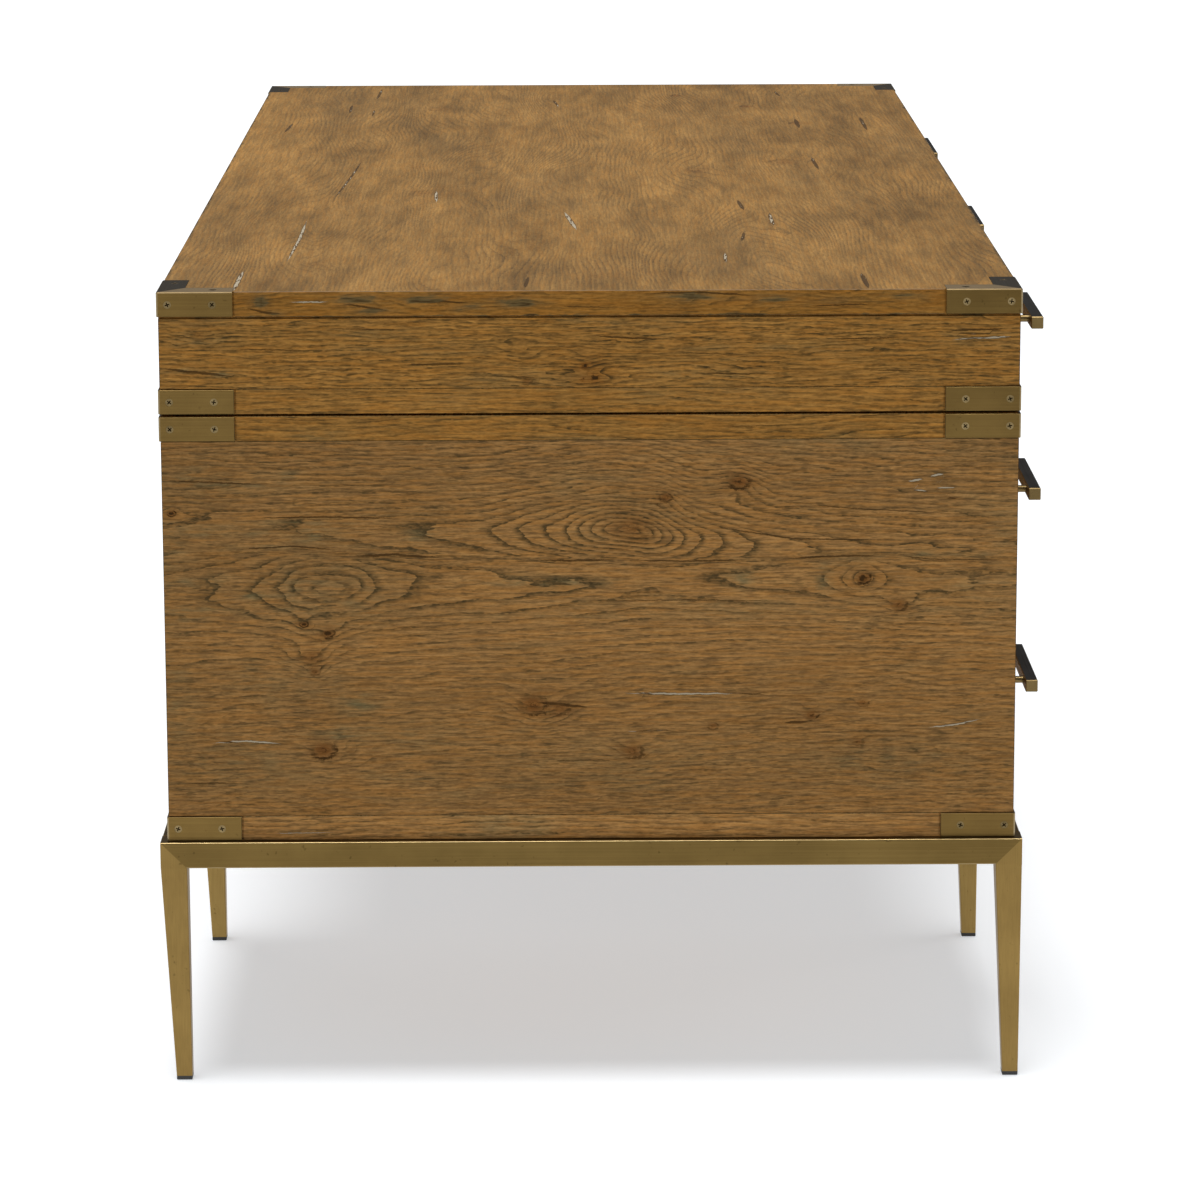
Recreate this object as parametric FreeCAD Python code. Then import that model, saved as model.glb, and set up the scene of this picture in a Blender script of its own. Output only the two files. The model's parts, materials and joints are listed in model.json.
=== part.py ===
import FreeCAD, Part
import os

# Twin-pedestal campaign desk in oak with let-in brass corner straps.
# An upper case with three shallow drawers stands on two drawer pedestals,
# and each pedestal stands on its own square-tube base with four tapered legs.
# Frame: millimetres, +X along the desk, -Y the drawer side, +Z up,
# origin on the floor under the middle of the whole desk.

V = FreeCAD.Vector

# ---- driving dimensions -------------------------------------------------
DESK_LENGTH = 1676.0      # wood, end to end
FRONT_Y = -390.0          # front wood face
BACK_Y = 420.0            # back wood face
TOP_Z = 774.0             # desktop height
BOARD = 24.0              # thickness of slab, case boards and sides
BACK_T = 18.0             # back panels
UPPER_CASE_Z = 657.0      # underside of the upper case
SHADOW_GAP = 2.0          # between pedestals and upper case
BASE_TOP_Z = 241.0        # top of the metal base
PEDESTAL_W = 450.0
DUST_T = 22.0             # board between the two pedestal drawers
EDGE = 0.6                # eased board edges
REBATE_H = 2.0            # shadow rebate under the slab
REBATE_D = 3.0

STRAP_LEG = 70.0          # strap length on each face, from the corner
STRAP_T = 2.5
STRAP_PROUD = 1.6
STRAP_GAP = 1.8           # open end of each let-in recess
STRAP_CLEAR_Z = 0.4
FLANGE_W = 24.0           # top flange of the slab brackets
FLANGE_T = 1.3
STRAP_BEND_R = 2.0        # outer radius of the bend at the corner
SCREW_NEAR = 9.0          # screw places along a strap leg
SCREW_FAR = 51.0
SCREW_HEAD_R = 3.6
SCREW_R = 1.5
SCREW_L = 8.0
RECESS_L = 4.4            # cross recess in a screw head
RECESS_W = 1.1

TUBE = 25.4               # base tube, square
TUBE_WALL = 2.0
BASE_PROUD = 8.0          # base outside the wood, all round
FOOT = 15.2               # leg section at the foot
GLIDE_H = 4.0
GLIDE_STEM_R = 4.0
GLIDE_STEM_L = 10.0

DRAWER_GAP = 2.0
FRONT_T = 20.0
BOX_T = 12.0
BOX_LENGTH = 600.0
BOX_BOTTOM_T = 6.0
BOX_GROOVE = 6.0
SLIDE_W = 13.0            # case side to drawer side
SLIDE_LENGTH = 560.0
SLIDE_SHEET = 1.2
HANDLE_L = 150.0
HANDLE_BAR = 12.0
HANDLE_PROUD = 38.0
HANDLE_POST_R = 3.5
HANDLE_CENTRES = 96.0
HANDLE_SCREW_R = 2.0

# ---- derived ------------------------------------------------------------
HALF = DESK_LENGTH / 2.0
PED_IN = HALF - PEDESTAL_W                      # inner face of a pedestal
COL_OUT, COL_IN = HALF - BOARD, PED_IN + BOARD  # drawer column of a pedestal
SLAB_Z = TOP_Z - BOARD
UPPER_FLOOR_Z = UPPER_CASE_Z + BOARD
PED_TOP_Z = UPPER_CASE_Z - SHADOW_GAP
PED_ROOF_Z = PED_TOP_Z - BOARD
PED_FLOOR_Z = BASE_TOP_Z + BOARD
PED_MID_Z = (PED_FLOOR_Z + PED_ROOF_Z) / 2.0
DUST_Z0, DUST_Z1 = PED_MID_Z - DUST_T / 2.0, PED_MID_Z + DUST_T / 2.0
BACK_IN = BACK_Y - BACK_T
RAIL_Z = BASE_TOP_Z - TUBE
BOX_BACK_Y = FRONT_Y + FRONT_T + BOX_LENGTH

os.makedirs("parts", exist_ok=True)
nodes = {}


def block(x0, x1, y0, y1, z0, z1, ease=0.0):
    """A board or bar between two corners, with its edges eased."""
    x0, x1 = sorted((x0, x1))
    y0, y1 = sorted((y0, y1))
    z0, z1 = sorted((z0, z1))
    shape = Part.makeBox(x1 - x0, y1 - y0, z1 - z0, V(x0, y0, z0))
    if ease:
        shape = shape.makeChamfer(ease, shape.Edges)
    return shape


def rod(p, d, r, length):
    return Part.makeCylinder(r, length, V(*p), V(*d))


def cut_all(shape, tools):
    return shape.cut(tools) if tools else shape


def put(name, shapes):
    nodes[name] = list(shapes) if isinstance(shapes, (list, tuple)) else [shapes]


# ---- corner straps, their screws and the recesses they need --------------
screws = []          # finished screws
wood_cuts = {}       # board name -> recess and pilot shapes


def csk_screw(p, d):
    """A countersunk screw whose head lies at p, driven along d."""
    p, d = V(*p), V(*d)
    head = Part.makeCone(SCREW_HEAD_R, SCREW_R, SCREW_HEAD_R - SCREW_R, p, d)
    shank = Part.makeCylinder(SCREW_R, SCREW_L, p, d)
    body = head.fuse(shank).removeSplitter()
    # cross recess in the head, 1.2 deep, turned differently from screw to screw
    turn = (int(abs(p.x) * 7 + abs(p.y) * 13 + p.z * 5) % 9) * 20.0
    arms = []
    for extra in (0.0, 90.0):
        a, b = RECESS_L / 2.0, RECESS_W / 2.0
        if abs(d.z) > 0.5:
            arm = Part.makeBox(2 * b, 2 * a, 2.4, V(p.x - b, p.y - a, p.z - 1.2))
        elif abs(d.x) > 0.5:
            arm = Part.makeBox(2.4, 2 * a, 2 * b, V(p.x - 1.2, p.y - a, p.z - b))
        else:
            arm = Part.makeBox(2 * a, 2.4, 2 * b, V(p.x - a, p.y - 1.2, p.z - b))
        arm.rotate(p, d, turn + extra)
        arms.append(arm)
    return body.cut(arms[0].fuse(arms[1]))


def csk_hole(p, d):
    """The countersink and pilot for such a screw, open all the way out of the strap's face."""
    p, d = V(*p), V(*d)
    start = p - d * 0.05
    head = Part.makeCone(SCREW_HEAD_R + 0.10, SCREW_R + 0.05, SCREW_HEAD_R - SCREW_R + 0.05, start, d)
    mouth = Part.makeCylinder(SCREW_HEAD_R + 0.10, 0.6, p - d * 0.65, d)
    return head.fuse([mouth, Part.makeCylinder(SCREW_R + 0.05, SCREW_L + 0.3, start, d)])


def corner_strap(cx, cy, z0, z1, board, flange=False):
    """An angle strap wrapped round the vertical corner at (cx, cy). The corner's wood lies towards the signs ix, iy."""
    if abs(cx) <= PED_IN + 1.0:
        ix = 1.0 if cx > 0 else -1.0
    else:
        ix = -1.0 if cx > 0 else 1.0
    iy = -1.0 if cy > 0 else 1.0
    deep = STRAP_T - STRAP_PROUD
    ox, oy = cx - ix * STRAP_PROUD, cy - iy * STRAP_PROUD
    zs0, zs1 = z0 + STRAP_CLEAR_Z, z1 - STRAP_CLEAR_Z
    if flange:
        zs1 = z1
    along_y = block(ox, cx + ix * deep, oy, cy + iy * STRAP_LEG, zs0, zs1)
    along_x = block(ox, cx + ix * STRAP_LEG, oy, cy + iy * deep, zs0, zs1)
    body = along_y.fuse(along_x)
    gap = STRAP_GAP
    cuts = [
        block(cx - ix * 5, cx + ix * deep, cy - iy * 5, cy + iy * (STRAP_LEG + gap), z0 - 1, z1 + 1),
        block(cx - ix * 5, cx + ix * (STRAP_LEG + gap), cy - iy * 5, cy + iy * deep, z0 - 1, z1 + 1),
    ]
    if flange:
        body = body.fuse(block(ox, cx + ix * FLANGE_W, oy, cy + iy * STRAP_LEG, z1 - FLANGE_T, z1))
        body = body.fuse(block(ox, cx + ix * STRAP_LEG, oy, cy + iy * FLANGE_W, z1 - FLANGE_T, z1))
        c = 0.3
        cuts.append(block(cx - ix * 5, cx + ix * (FLANGE_W + c), cy - iy * 5, cy + iy * (STRAP_LEG + c), z1 - FLANGE_T, z1 + 1))
        cuts.append(block(cx - ix * 5, cx + ix * (STRAP_LEG + c), cy - iy * 5, cy + iy * (FLANGE_W + c), z1 - FLANGE_T, z1 + 1))
    body = body.removeSplitter()
    # the strap is bent round the corner
    def on_corner(e):
        m = e.BoundBox
        return max(abs(m.XMin - ox), abs(m.XMax - ox), abs(m.YMin - oy), abs(m.YMax - oy)) < 1e-6
    body = body.makeFillet(STRAP_BEND_R, [e for e in body.Edges if on_corner(e)])
    # eased outer edges, with a wider bevel along the top lip
    def outside(e):
        m = e.BoundBox
        on_x = abs(m.XMin - ox) < 1e-6 and abs(m.XMax - ox) < 1e-6
        on_y = abs(m.YMin - oy) < 1e-6 and abs(m.YMax - oy) < 1e-6
        if m.ZMax - m.ZMin > 1e-6:      # upright: the strap's two ends only, not the seams of the bend
            return (on_x and abs(m.YMin - cy - iy * STRAP_LEG) < 1e-6) or (on_y and abs(m.XMin - cx - ix * STRAP_LEG) < 1e-6)
        return on_x or on_y
    edges = [e for e in body.Edges if outside(e)]
    lip = [e for e in edges if flange and abs(e.BoundBox.ZMin - z1) < 1e-6 and abs(e.BoundBox.ZMax - z1) < 1e-6]
    if lip:
        body = body.makeChamfer(0.9, lip)
        edges = [e for e in body.Edges if outside(e) and e.BoundBox.ZMax < z1 - 0.95]
        edges = [e for e in edges if e.BoundBox.ZMax - e.BoundBox.ZMin < 1e-6]
    body = body.makeChamfer(0.35, edges)
    zc = (z0 + z1) / 2.0
    places = []
    for s in (SCREW_NEAR, SCREW_FAR):
        places.append(((ox, cy + iy * s, zc), (ix, 0, 0)))
        places.append(((cx + ix * s, oy, zc), (0, iy, 0)))
    if flange:
        places.append(((cx + ix * FLANGE_W / 2.0, cy + iy * SCREW_FAR, z1), (0, 0, -1)))
        places.append(((cx + ix * SCREW_FAR, cy + iy * FLANGE_W / 2.0, z1), (0, 0, -1)))
    holes = []
    for p, d in places:
        q = tuple(a + b * 0.1 for a, b in zip(p, d))
        screws.append(csk_screw(q, d))
        holes.append(csk_hole(q, d))
        cuts.append(csk_hole(q, d))
    wood_cuts.setdefault(board, []).extend(cuts)
    return body.cut(holes)


OUTER_CORNERS = [(sx * HALF, y) for sx in (-1, 1) for y in (FRONT_Y, BACK_Y)]
put("top_corner_brackets", [corner_strap(x, y, SLAB_Z, TOP_Z, "slab", True) for x, y in OUTER_CORNERS])
put("upper_case_straps", [corner_strap(x, y, UPPER_CASE_Z, UPPER_FLOOR_Z, "upper_bottom") for x, y in OUTER_CORNERS])
ped_straps = []
for side, s in (("left", -1), ("right", 1)):
    for x in (s * HALF, s * PED_IN):
        for y in (FRONT_Y, BACK_Y):
            ped_straps.append(corner_strap(x, y, PED_ROOF_Z, PED_TOP_Z, side + "_top"))
            ped_straps.append(corner_strap(x, y, BASE_TOP_Z, PED_FLOOR_Z, side + "_bottom"))
put("pedestal_straps", ped_straps)
put("bracket_screws", screws)

# ---- assembly bolts: pedestals to upper case, bases to pedestals -----------
BOLT_X = (PED_IN + 90.0, HALF - 90.0)
BOLT_Y = (-290.0, 320.0)
bolts = []
pad_cuts = {"left": [], "right": []}
base_cuts = {"left": [], "right": []}
for side, s in (("left", -1), ("right", 1)):
    for bx in BOLT_X:
        for by in BOLT_Y:
            x = s * bx
            head = Part.makeCylinder(6.5, 4.0, V(x, by, PED_ROOF_Z - 4.0))
            head = head.makeChamfer(0.6, [head.Edges[2]])
            socket = Part.makeCylinder(2.5, 2.5, V(x, by, PED_ROOF_Z - 4.0))
            bolts.append(head.fuse(rod((x, by, PED_ROOF_Z - 0.5), (0, 0, 1), 3.0, 45.0)).cut(socket).removeSplitter())
            hole = rod((x, by, PED_ROOF_Z - 1.0), (0, 0, 1), 3.05, 46.0)
            wood_cuts.setdefault(side + "_top", []).append(hole)
            wood_cuts.setdefault("upper_bottom", []).append(hole)
            pad_cuts[side].append(hole)
        for ry in (FRONT_Y - BASE_PROUD + TUBE / 2.0, BACK_Y + BASE_PROUD - TUBE / 2.0):
            x = s * bx
            head = Part.makeCylinder(5.0, 3.0, V(x, ry, RAIL_Z - 3.0))
            head = head.makeChamfer(0.5, [head.Edges[2]])
            bolts.append(head.fuse(rod((x, ry, RAIL_Z - 0.5), (0, 0, 1), 2.5, 40.0)).removeSplitter())
            hole = rod((x, ry, RAIL_Z - 1.0), (0, 0, 1), 2.55, 41.0)
            wood_cuts.setdefault(side + "_bottom", []).append(hole)
            base_cuts[side].append(hole)
put("assembly_bolts", bolts)

# ---- upper case ------------------------------------------------------------
put("top_slab", cut_all(block(-HALF, HALF, FRONT_Y, BACK_Y, SLAB_Z, TOP_Z, EDGE), wood_cuts["slab"]))
put("upper_bottom_board", cut_all(block(-HALF, HALF, FRONT_Y, BACK_Y, UPPER_CASE_Z, UPPER_FLOOR_Z, EDGE), wood_cuts["upper_bottom"]))
ends = []
for s in (-1, 1):
    panel = block(s * COL_OUT, s * HALF, FRONT_Y, BACK_Y, UPPER_FLOOR_Z, SLAB_Z, EDGE)
    ends.append(panel.cut(block(s * (HALF - REBATE_D), s * (HALF + 5), FRONT_Y - 5, BACK_Y + 5, SLAB_Z - REBATE_H, SLAB_Z + 5)))
put("upper_end_panels", ends)
put("upper_partitions", [block(s * PED_IN, s * COL_IN, FRONT_Y, BACK_IN, UPPER_FLOOR_Z, SLAB_Z, EDGE) for s in (-1, 1)])
put("upper_back_panel", block(-COL_OUT, COL_OUT, BACK_IN, BACK_Y, UPPER_FLOOR_Z, SLAB_Z, EDGE))

# ---- pedestals ---------------------------------------------------------------
pads = []
for side, s in (("left", -1), ("right", 1)):
    put("pedestal_%s_top_board" % side, cut_all(block(s * PED_IN, s * HALF, FRONT_Y, BACK_Y, PED_ROOF_Z, PED_TOP_Z, EDGE), wood_cuts[side + "_top"]))
    put("pedestal_%s_bottom_board" % side, cut_all(block(s * PED_IN, s * HALF, FRONT_Y, BACK_Y, BASE_TOP_Z, PED_FLOOR_Z, EDGE), wood_cuts[side + "_bottom"]))
    put("pedestal_%s_sides" % side, [
        block(s * COL_OUT, s * HALF, FRONT_Y, BACK_Y, PED_FLOOR_Z, PED_ROOF_Z, EDGE),
        block(s * PED_IN, s * COL_IN, FRONT_Y, BACK_Y, PED_FLOOR_Z, PED_ROOF_Z, EDGE),
    ])
    put("pedestal_%s_back_panel" % side, block(s * COL_IN, s * COL_OUT, BACK_IN, BACK_Y, PED_FLOOR_Z, PED_ROOF_Z, EDGE))
    put("pedestal_%s_dust_board" % side, block(s * COL_IN, s * COL_OUT, FRONT_Y, BACK_IN, DUST_Z0, DUST_Z1, EDGE))
    pads.append(cut_all(block(s * (PED_IN + 12), s * (HALF - 12), FRONT_Y + 12, BACK_Y - 12, PED_TOP_Z, UPPER_CASE_Z), pad_cuts[side]))
put("spacer_pads", pads)

# ---- metal bases -----------------------------------------------------------------
BASE_OUT, BASE_IN = HALF + BASE_PROUD, PED_IN - BASE_PROUD
BASE_Y0, BASE_Y1 = FRONT_Y - BASE_PROUD, BACK_Y + BASE_PROUD


def tube(x0, x1, y0, y1, along):
    """A hollow square tube at rail height with rounded long edges, open at its ends."""
    x0, x1 = sorted((x0, x1))
    outer = block(x0, x1, y0, y1, RAIL_Z, BASE_TOP_Z)
    long_edges = [e for e in outer.Edges if abs((e.Vertexes[1].Point - e.Vertexes[0].Point).getAngle(along)) % 3.14159 < 0.01
                  or abs(abs((e.Vertexes[1].Point - e.Vertexes[0].Point).getAngle(along)) - 3.14159) < 0.01]
    outer = outer.makeFillet(1.2, long_edges)
    w = TUBE_WALL
    if along.x:
        inner = block(x0 - 1, x1 + 1, y0 + w, y1 - w, RAIL_Z + w, BASE_TOP_Z - w)
    else:
        inner = block(x0 + w, x1 - w, y0 - 1, y1 + 1, RAIL_Z + w, BASE_TOP_Z - w)
    return outer.cut(inner)


def prism(points, direction):
    return Part.Face(Part.makePolygon([V(*p) for p in points + points[:1]])).extrude(V(*direction))


rails, legs, glides = [], [], []
for side, s in (("left", -1), ("right", 1)):
    for xo, xi in ((s * BASE_OUT, s * (BASE_OUT - TUBE)), (s * BASE_IN, s * (BASE_IN + TUBE))):
        xa, xb = sorted((xo, xi))
        rail = tube(xa, xb, BASE_Y0, BASE_Y1, V(0, 1, 0))
        # mitred ends, from the outer top corner to the inner lower corner
        for y, i in ((BASE_Y0, 1), (BASE_Y1, -1)):
            rail = rail.cut(prism([(xa - 1, y, BASE_TOP_Z), (xa - 1, y + i * TUBE, RAIL_Z),
                                   (xa - 1, y + i * (TUBE + 1), RAIL_Z - 1), (xa - 1, y - i * 5, RAIL_Z - 1),
                                   (xa - 1, y - i * 5, BASE_TOP_Z + 5)], (xb - xa + 2, 0, 0)))
        rails.append(rail)
        for y, i in ((BASE_Y0, 1), (BASE_Y1, -1)):
            y_low = min(y, y + i * TUBE)           # the straight face, towards the front
            wedge = prism([(xa, y, BASE_TOP_Z), (xa, y + i * TUBE, RAIL_Z), (xa, y, RAIL_Z)], (TUBE, 0, 0))
            # taper on the outer end face and on the face towards the back
            if s < 0:
                fx0, fx1 = xb - FOOT, xb
            else:
                fx0, fx1 = xa, xa + FOOT
            top = Part.makePolygon([V(xa, y_low, RAIL_Z), V(xb, y_low, RAIL_Z), V(xb, y_low + TUBE, RAIL_Z), V(xa, y_low + TUBE, RAIL_Z), V(xa, y_low, RAIL_Z)])
            low = Part.makePolygon([V(fx0, y_low, GLIDE_H), V(fx1, y_low, GLIDE_H), V(fx1, y_low + FOOT, GLIDE_H), V(fx0, y_low + FOOT, GLIDE_H), V(fx0, y_low, GLIDE_H)])
            leg = Part.makeLoft([low, top], True, True)
            upright = [e for e in leg.Edges if e.BoundBox.ZMax - e.BoundBox.ZMin > 100]
            leg = leg.makeChamfer(0.8, upright)
            leg = leg.fuse(wedge)
            cx, cy = (fx0 + fx1) / 2.0, y_low + FOOT / 2.0
            leg = leg.cut(rod((cx, cy, GLIDE_H - 1), (0, 0, 1), GLIDE_STEM_R + 0.05, GLIDE_STEM_L + 1.5))
            legs.append(leg)
            pad = block(fx0, fx1, y_low, y_low + FOOT, 0, GLIDE_H)
            pad = pad.makeFillet(1.0, [e for e in pad.Edges if e.BoundBox.ZMin < GLIDE_H - 0.1])
            glides.append(pad.fuse(rod((cx, cy, GLIDE_H - 0.5), (0, 0, 1), GLIDE_STEM_R, GLIDE_STEM_L + 0.5)).removeSplitter())
    for y0, y1 in ((BASE_Y0, BASE_Y0 + TUBE), (BASE_Y1 - TUBE, BASE_Y1)):
        rails.append(cut_all(tube(s * (BASE_IN + TUBE), s * (BASE_OUT - TUBE), y0, y1, V(1, 0, 0)), base_cuts[side]))
put("base_rails", rails)
put("base_legs", legs)
put("glides", glides)

# ---- drawers -----------------------------------------------------------------------
cabinet_members = []


def channel(x_wall, toward, u0, u1, half_h, open_up, zc, y0, length):
    """A rolled slide member. u runs from the case side towards the drawer; the web is at u0, or at u1 if open_up is false."""
    t = SLIDE_SHEET
    a, b = x_wall + toward * u0, x_wall + toward * u1
    w0, w1 = (a, a + toward * t) if open_up else (b - toward * t, b)
    web = block(w0, w1, y0, y0 + length, zc - half_h, zc + half_h)
    upper = block(a, b, y0, y0 + length, zc + half_h - t, zc + half_h)
    lower = block(a, b, y0, y0 + length, zc - half_h, zc - half_h + t)
    body = web.fuse([upper, lower]).removeSplitter()
    # mounting slots through the web
    for k in range(4):
        yc = y0 + 40 + k * (length - 80) / 3.0
        body = body.cut(block(min(w0, w1) - 1, max(w0, w1) + 1, yc - 5, yc + 5, zc - 2.2, zc + 2.2))
    return body


def drawer(name, x0, x1, z0, z1, box_h):
    """A drawer in the opening x0..x1, z0..z1 with its box, handle and slides."""
    g = DRAWER_GAP
    xc, zc = (x0 + x1) / 2.0, (z0 + z1) / 2.0
    yi = FRONT_Y + FRONT_T
    bx0, bx1 = x0 + SLIDE_W, x1 - SLIDE_W
    bz0 = z0 + 7.0
    bz1 = bz0 + box_h
    gz0, gz1 = bz0 + 8.0, bz0 + 8.0 + BOX_BOTTOM_T
    posts_x = (xc - HANDLE_CENTRES / 2.0, xc + HANDLE_CENTRES / 2.0)
    bar_y0, bar_y1 = FRONT_Y - HANDLE_PROUD, FRONT_Y - HANDLE_PROUD + HANDLE_BAR
    pilot = [rod((px, bar_y1, zc), (0, 1, 0), HANDLE_SCREW_R + 0.05, 80.0) for px in posts_x]
    front = block(x0 + g, x1 - g, FRONT_Y, yi, z0 + g, z1 - g, EDGE)
    put(name + "_front", front.cut(pilot))

    groove = block(bx0 + BOX_T - BOX_GROOVE, bx1 - BOX_T + BOX_GROOVE, yi + BOX_T - BOX_GROOVE, BOX_BACK_Y + 5, gz0, gz1)
    left = block(bx0, bx0 + BOX_T, yi, BOX_BACK_Y, bz0, bz1).cut(groove)
    right = block(bx1 - BOX_T, bx1, yi, BOX_BACK_Y, bz0, bz1).cut(groove)
    sub = block(bx0 + BOX_T, bx1 - BOX_T, yi, yi + BOX_T, bz0, bz1).cut(groove).cut(pilot)
    back = block(bx0 + BOX_T, bx1 - BOX_T, BOX_BACK_Y - BOX_T, BOX_BACK_Y, gz1, bz1)
    bottom = block(bx0 + BOX_T - BOX_GROOVE, bx1 - BOX_T + BOX_GROOVE, yi + BOX_T - BOX_GROOVE, BOX_BACK_Y, gz0, gz1)
    put(name + "_box", [left, right, sub, back, bottom])

    bar = block(xc - HANDLE_L / 2.0, xc + HANDLE_L / 2.0, bar_y0, bar_y1, zc - HANDLE_BAR / 2.0, zc + HANDLE_BAR / 2.0, 0.7)
    hardware = [bar]
    for px in posts_x:
        post = rod((px, bar_y1, zc), (0, 1, 0), HANDLE_POST_R, FRONT_Y - bar_y1)
        tip = bar_y1 + (FRONT_Y - bar_y1) - 12.0
        hardware.append(post.cut(rod((px, tip, zc), (0, 1, 0), HANDLE_SCREW_R + 0.05, 20.0)))
        head_y = yi + BOX_T
        head = Part.makeCylinder(4.0, 2.6, V(px, head_y, zc), V(0, 1, 0))
        shank = rod((px, tip + 0.5, zc), (0, 1, 0), HANDLE_SCREW_R, head_y + 0.5 - tip - 0.5)
        cross = block(px - 2.4, px + 2.4, head_y + 1.4, head_y + 4.0, zc - 0.5, zc + 0.5).fuse(block(px - 0.5, px + 0.5, head_y + 1.4, head_y + 4.0, zc - 2.4, zc + 2.4))
        hardware.append(head.fuse(shank).removeSplitter().cut(cross))
    put(name + "_handle", hardware)

    sz = bz0 + min(box_h / 2.0, 40.0)
    sy = yi + 4.0
    inner, middle = [], []
    for wall, toward in ((x0, 1.0), (x1, -1.0)):
        cabinet_members.append(channel(wall, toward, 0.0, 9.0, 17.5, True, sz, sy, SLIDE_LENGTH))
        middle.append(channel(wall, toward, 2.4, 10.6, 15.3, True, sz, sy, SLIDE_LENGTH))
        inner.append(channel(wall, toward, 5.0, SLIDE_W, 12.4, False, sz, sy, SLIDE_LENGTH))
    put(name + "_slide_inners", inner)
    put(name + "_slide_middles", middle)


drawer("top_left_drawer", -COL_OUT, -COL_IN, UPPER_FLOOR_Z, SLAB_Z, 48.0)
drawer("top_centre_drawer", -PED_IN, PED_IN, UPPER_FLOOR_Z, SLAB_Z, 48.0)
drawer("top_right_drawer", COL_IN, COL_OUT, UPPER_FLOOR_Z, SLAB_Z, 48.0)
for side, s in (("left", -1), ("right", 1)):
    xa, xb = sorted((s * COL_IN, s * COL_OUT))
    drawer("%s_upper_drawer" % side, xa, xb, DUST_Z1, PED_ROOF_Z, 132.0)
    drawer("%s_lower_drawer" % side, xa, xb, PED_FLOOR_Z, DUST_Z0, 132.0)
put("slide_cabinet_members", cabinet_members)

# ---- write one file per node -----------------------------------------------------------
low, high = V(1e9, 1e9, 1e9), V(-1e9, -1e9, -1e9)
for name, shapes in nodes.items():
    solids = []
    for shape in shapes:
        assert shape.isValid(), name
        found = shape.Solids
        assert len(found) == 1, (name, len(found))
        solids += found
    whole = solids[0] if len(solids) == 1 else Part.makeCompound(solids)
    b = whole.BoundBox
    low = V(min(low.x, b.XMin), min(low.y, b.YMin), min(low.z, b.ZMin))
    high = V(max(high.x, b.XMax), max(high.y, b.YMax), max(high.z, b.ZMax))
    whole.exportStep("parts/%s.step" % name)
print(len(nodes), "nodes", sum(len(v) for v in nodes.values()), "solids")
print("box", [round(v, 2) for v in low], [round(v, 2) for v in high])
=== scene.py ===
import json
import math

import bmesh
import bpy
import numpy as np
from mathutils import Matrix, Vector


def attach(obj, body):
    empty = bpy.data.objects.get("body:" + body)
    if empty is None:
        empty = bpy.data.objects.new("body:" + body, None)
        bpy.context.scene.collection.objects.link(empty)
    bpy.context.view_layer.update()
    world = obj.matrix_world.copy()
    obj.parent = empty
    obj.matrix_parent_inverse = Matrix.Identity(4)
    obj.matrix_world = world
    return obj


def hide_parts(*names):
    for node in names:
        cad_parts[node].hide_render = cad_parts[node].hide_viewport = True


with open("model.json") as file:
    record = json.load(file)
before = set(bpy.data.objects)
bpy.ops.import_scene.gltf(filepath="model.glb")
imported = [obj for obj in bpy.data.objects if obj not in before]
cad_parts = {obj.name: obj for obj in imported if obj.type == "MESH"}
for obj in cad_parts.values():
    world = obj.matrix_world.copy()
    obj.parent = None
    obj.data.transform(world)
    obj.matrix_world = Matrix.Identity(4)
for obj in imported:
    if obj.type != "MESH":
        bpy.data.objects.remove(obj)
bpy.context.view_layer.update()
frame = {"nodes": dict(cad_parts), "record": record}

NODES = frame["nodes"]
BODY = {}
for body_name, members in frame["record"]["behaviour"]["bodies"].items():
    for member in members:
        BODY[member] = body_name
MM = 0.001
DRAWERS = ["top_left_drawer", "top_centre_drawer", "top_right_drawer", "left_upper_drawer",
           "left_lower_drawer", "right_upper_drawer", "right_lower_drawer"]


# ---------------------------------------------------------------- smooth seeded noise, in numpy
def lattice(ix, iy, seed):
    h = (ix.astype(np.int64) * 374761393 + iy.astype(np.int64) * 668265263 + int(seed) * 974634777) & 0xFFFFFFFF
    h = ((h ^ (h >> 13)) * 1274126177) & 0xFFFFFFFF
    h = ((h ^ (h >> 16)) * 2246822519) & 0xFFFFFFFF
    return (h ^ (h >> 15)).astype(np.float64) / 4294967296.0


def noise(x, y, seed):
    """Gradient noise, about -1 to 1."""
    x0, y0 = np.floor(x), np.floor(y)
    fx, fy = x - x0, y - y0
    sx = fx * fx * fx * (fx * (fx * 6 - 15) + 10)
    sy = fy * fy * fy * (fy * (fy * 6 - 15) + 10)
    total = 0.0
    for dx, wx in ((0, 1 - sx), (1, sx)):
        for dy, wy in ((0, 1 - sy), (1, sy)):
            a = lattice(x0 + dx, y0 + dy, seed) * 2 * np.pi
            total = total + (np.cos(a) * (fx - dx) + np.sin(a) * (fy - dy)) * wx * wy
    return total * 1.5


def step01(lo, hi, x):
    t = np.clip((x - lo) / (hi - lo), 0, 1)
    return t * t * (3 - 2 * t)


def smooth_min(a, b, k):
    d = np.abs(a - b)
    return np.minimum(a, b) - np.log1p(np.exp(-d * k)) / k


# ---------------------------------------------------------------- wood figure, per face corner
# Each board is a copy of its solid cut into a fine grid, and every face corner holds the figure of the wood there:
#   grain = (along the grain, across it, growth ring count), mark = (tone and grey wax, both raised on upward bevels as
#   a painted highlight, dark, which is painted shade on the other bevels), more = (line strength, red heart, open
#   pores),
#   crack = (signed distance to the nearest crack, its half width, filler), ring = (distance between growth lines, hue,
#   wear and painted shade along edges and the joint under the desktop),
#   knot = (place inside the nearest knot, along and across, in radii; its strength)
KEYS = ("F", "tone", "grey", "dark", "gain", "red", "pores", "crack_d", "crack_w", "filler", "gap", "hue", "wear_and_shade", "knot_u", "knot_v", "knot_k")


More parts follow.
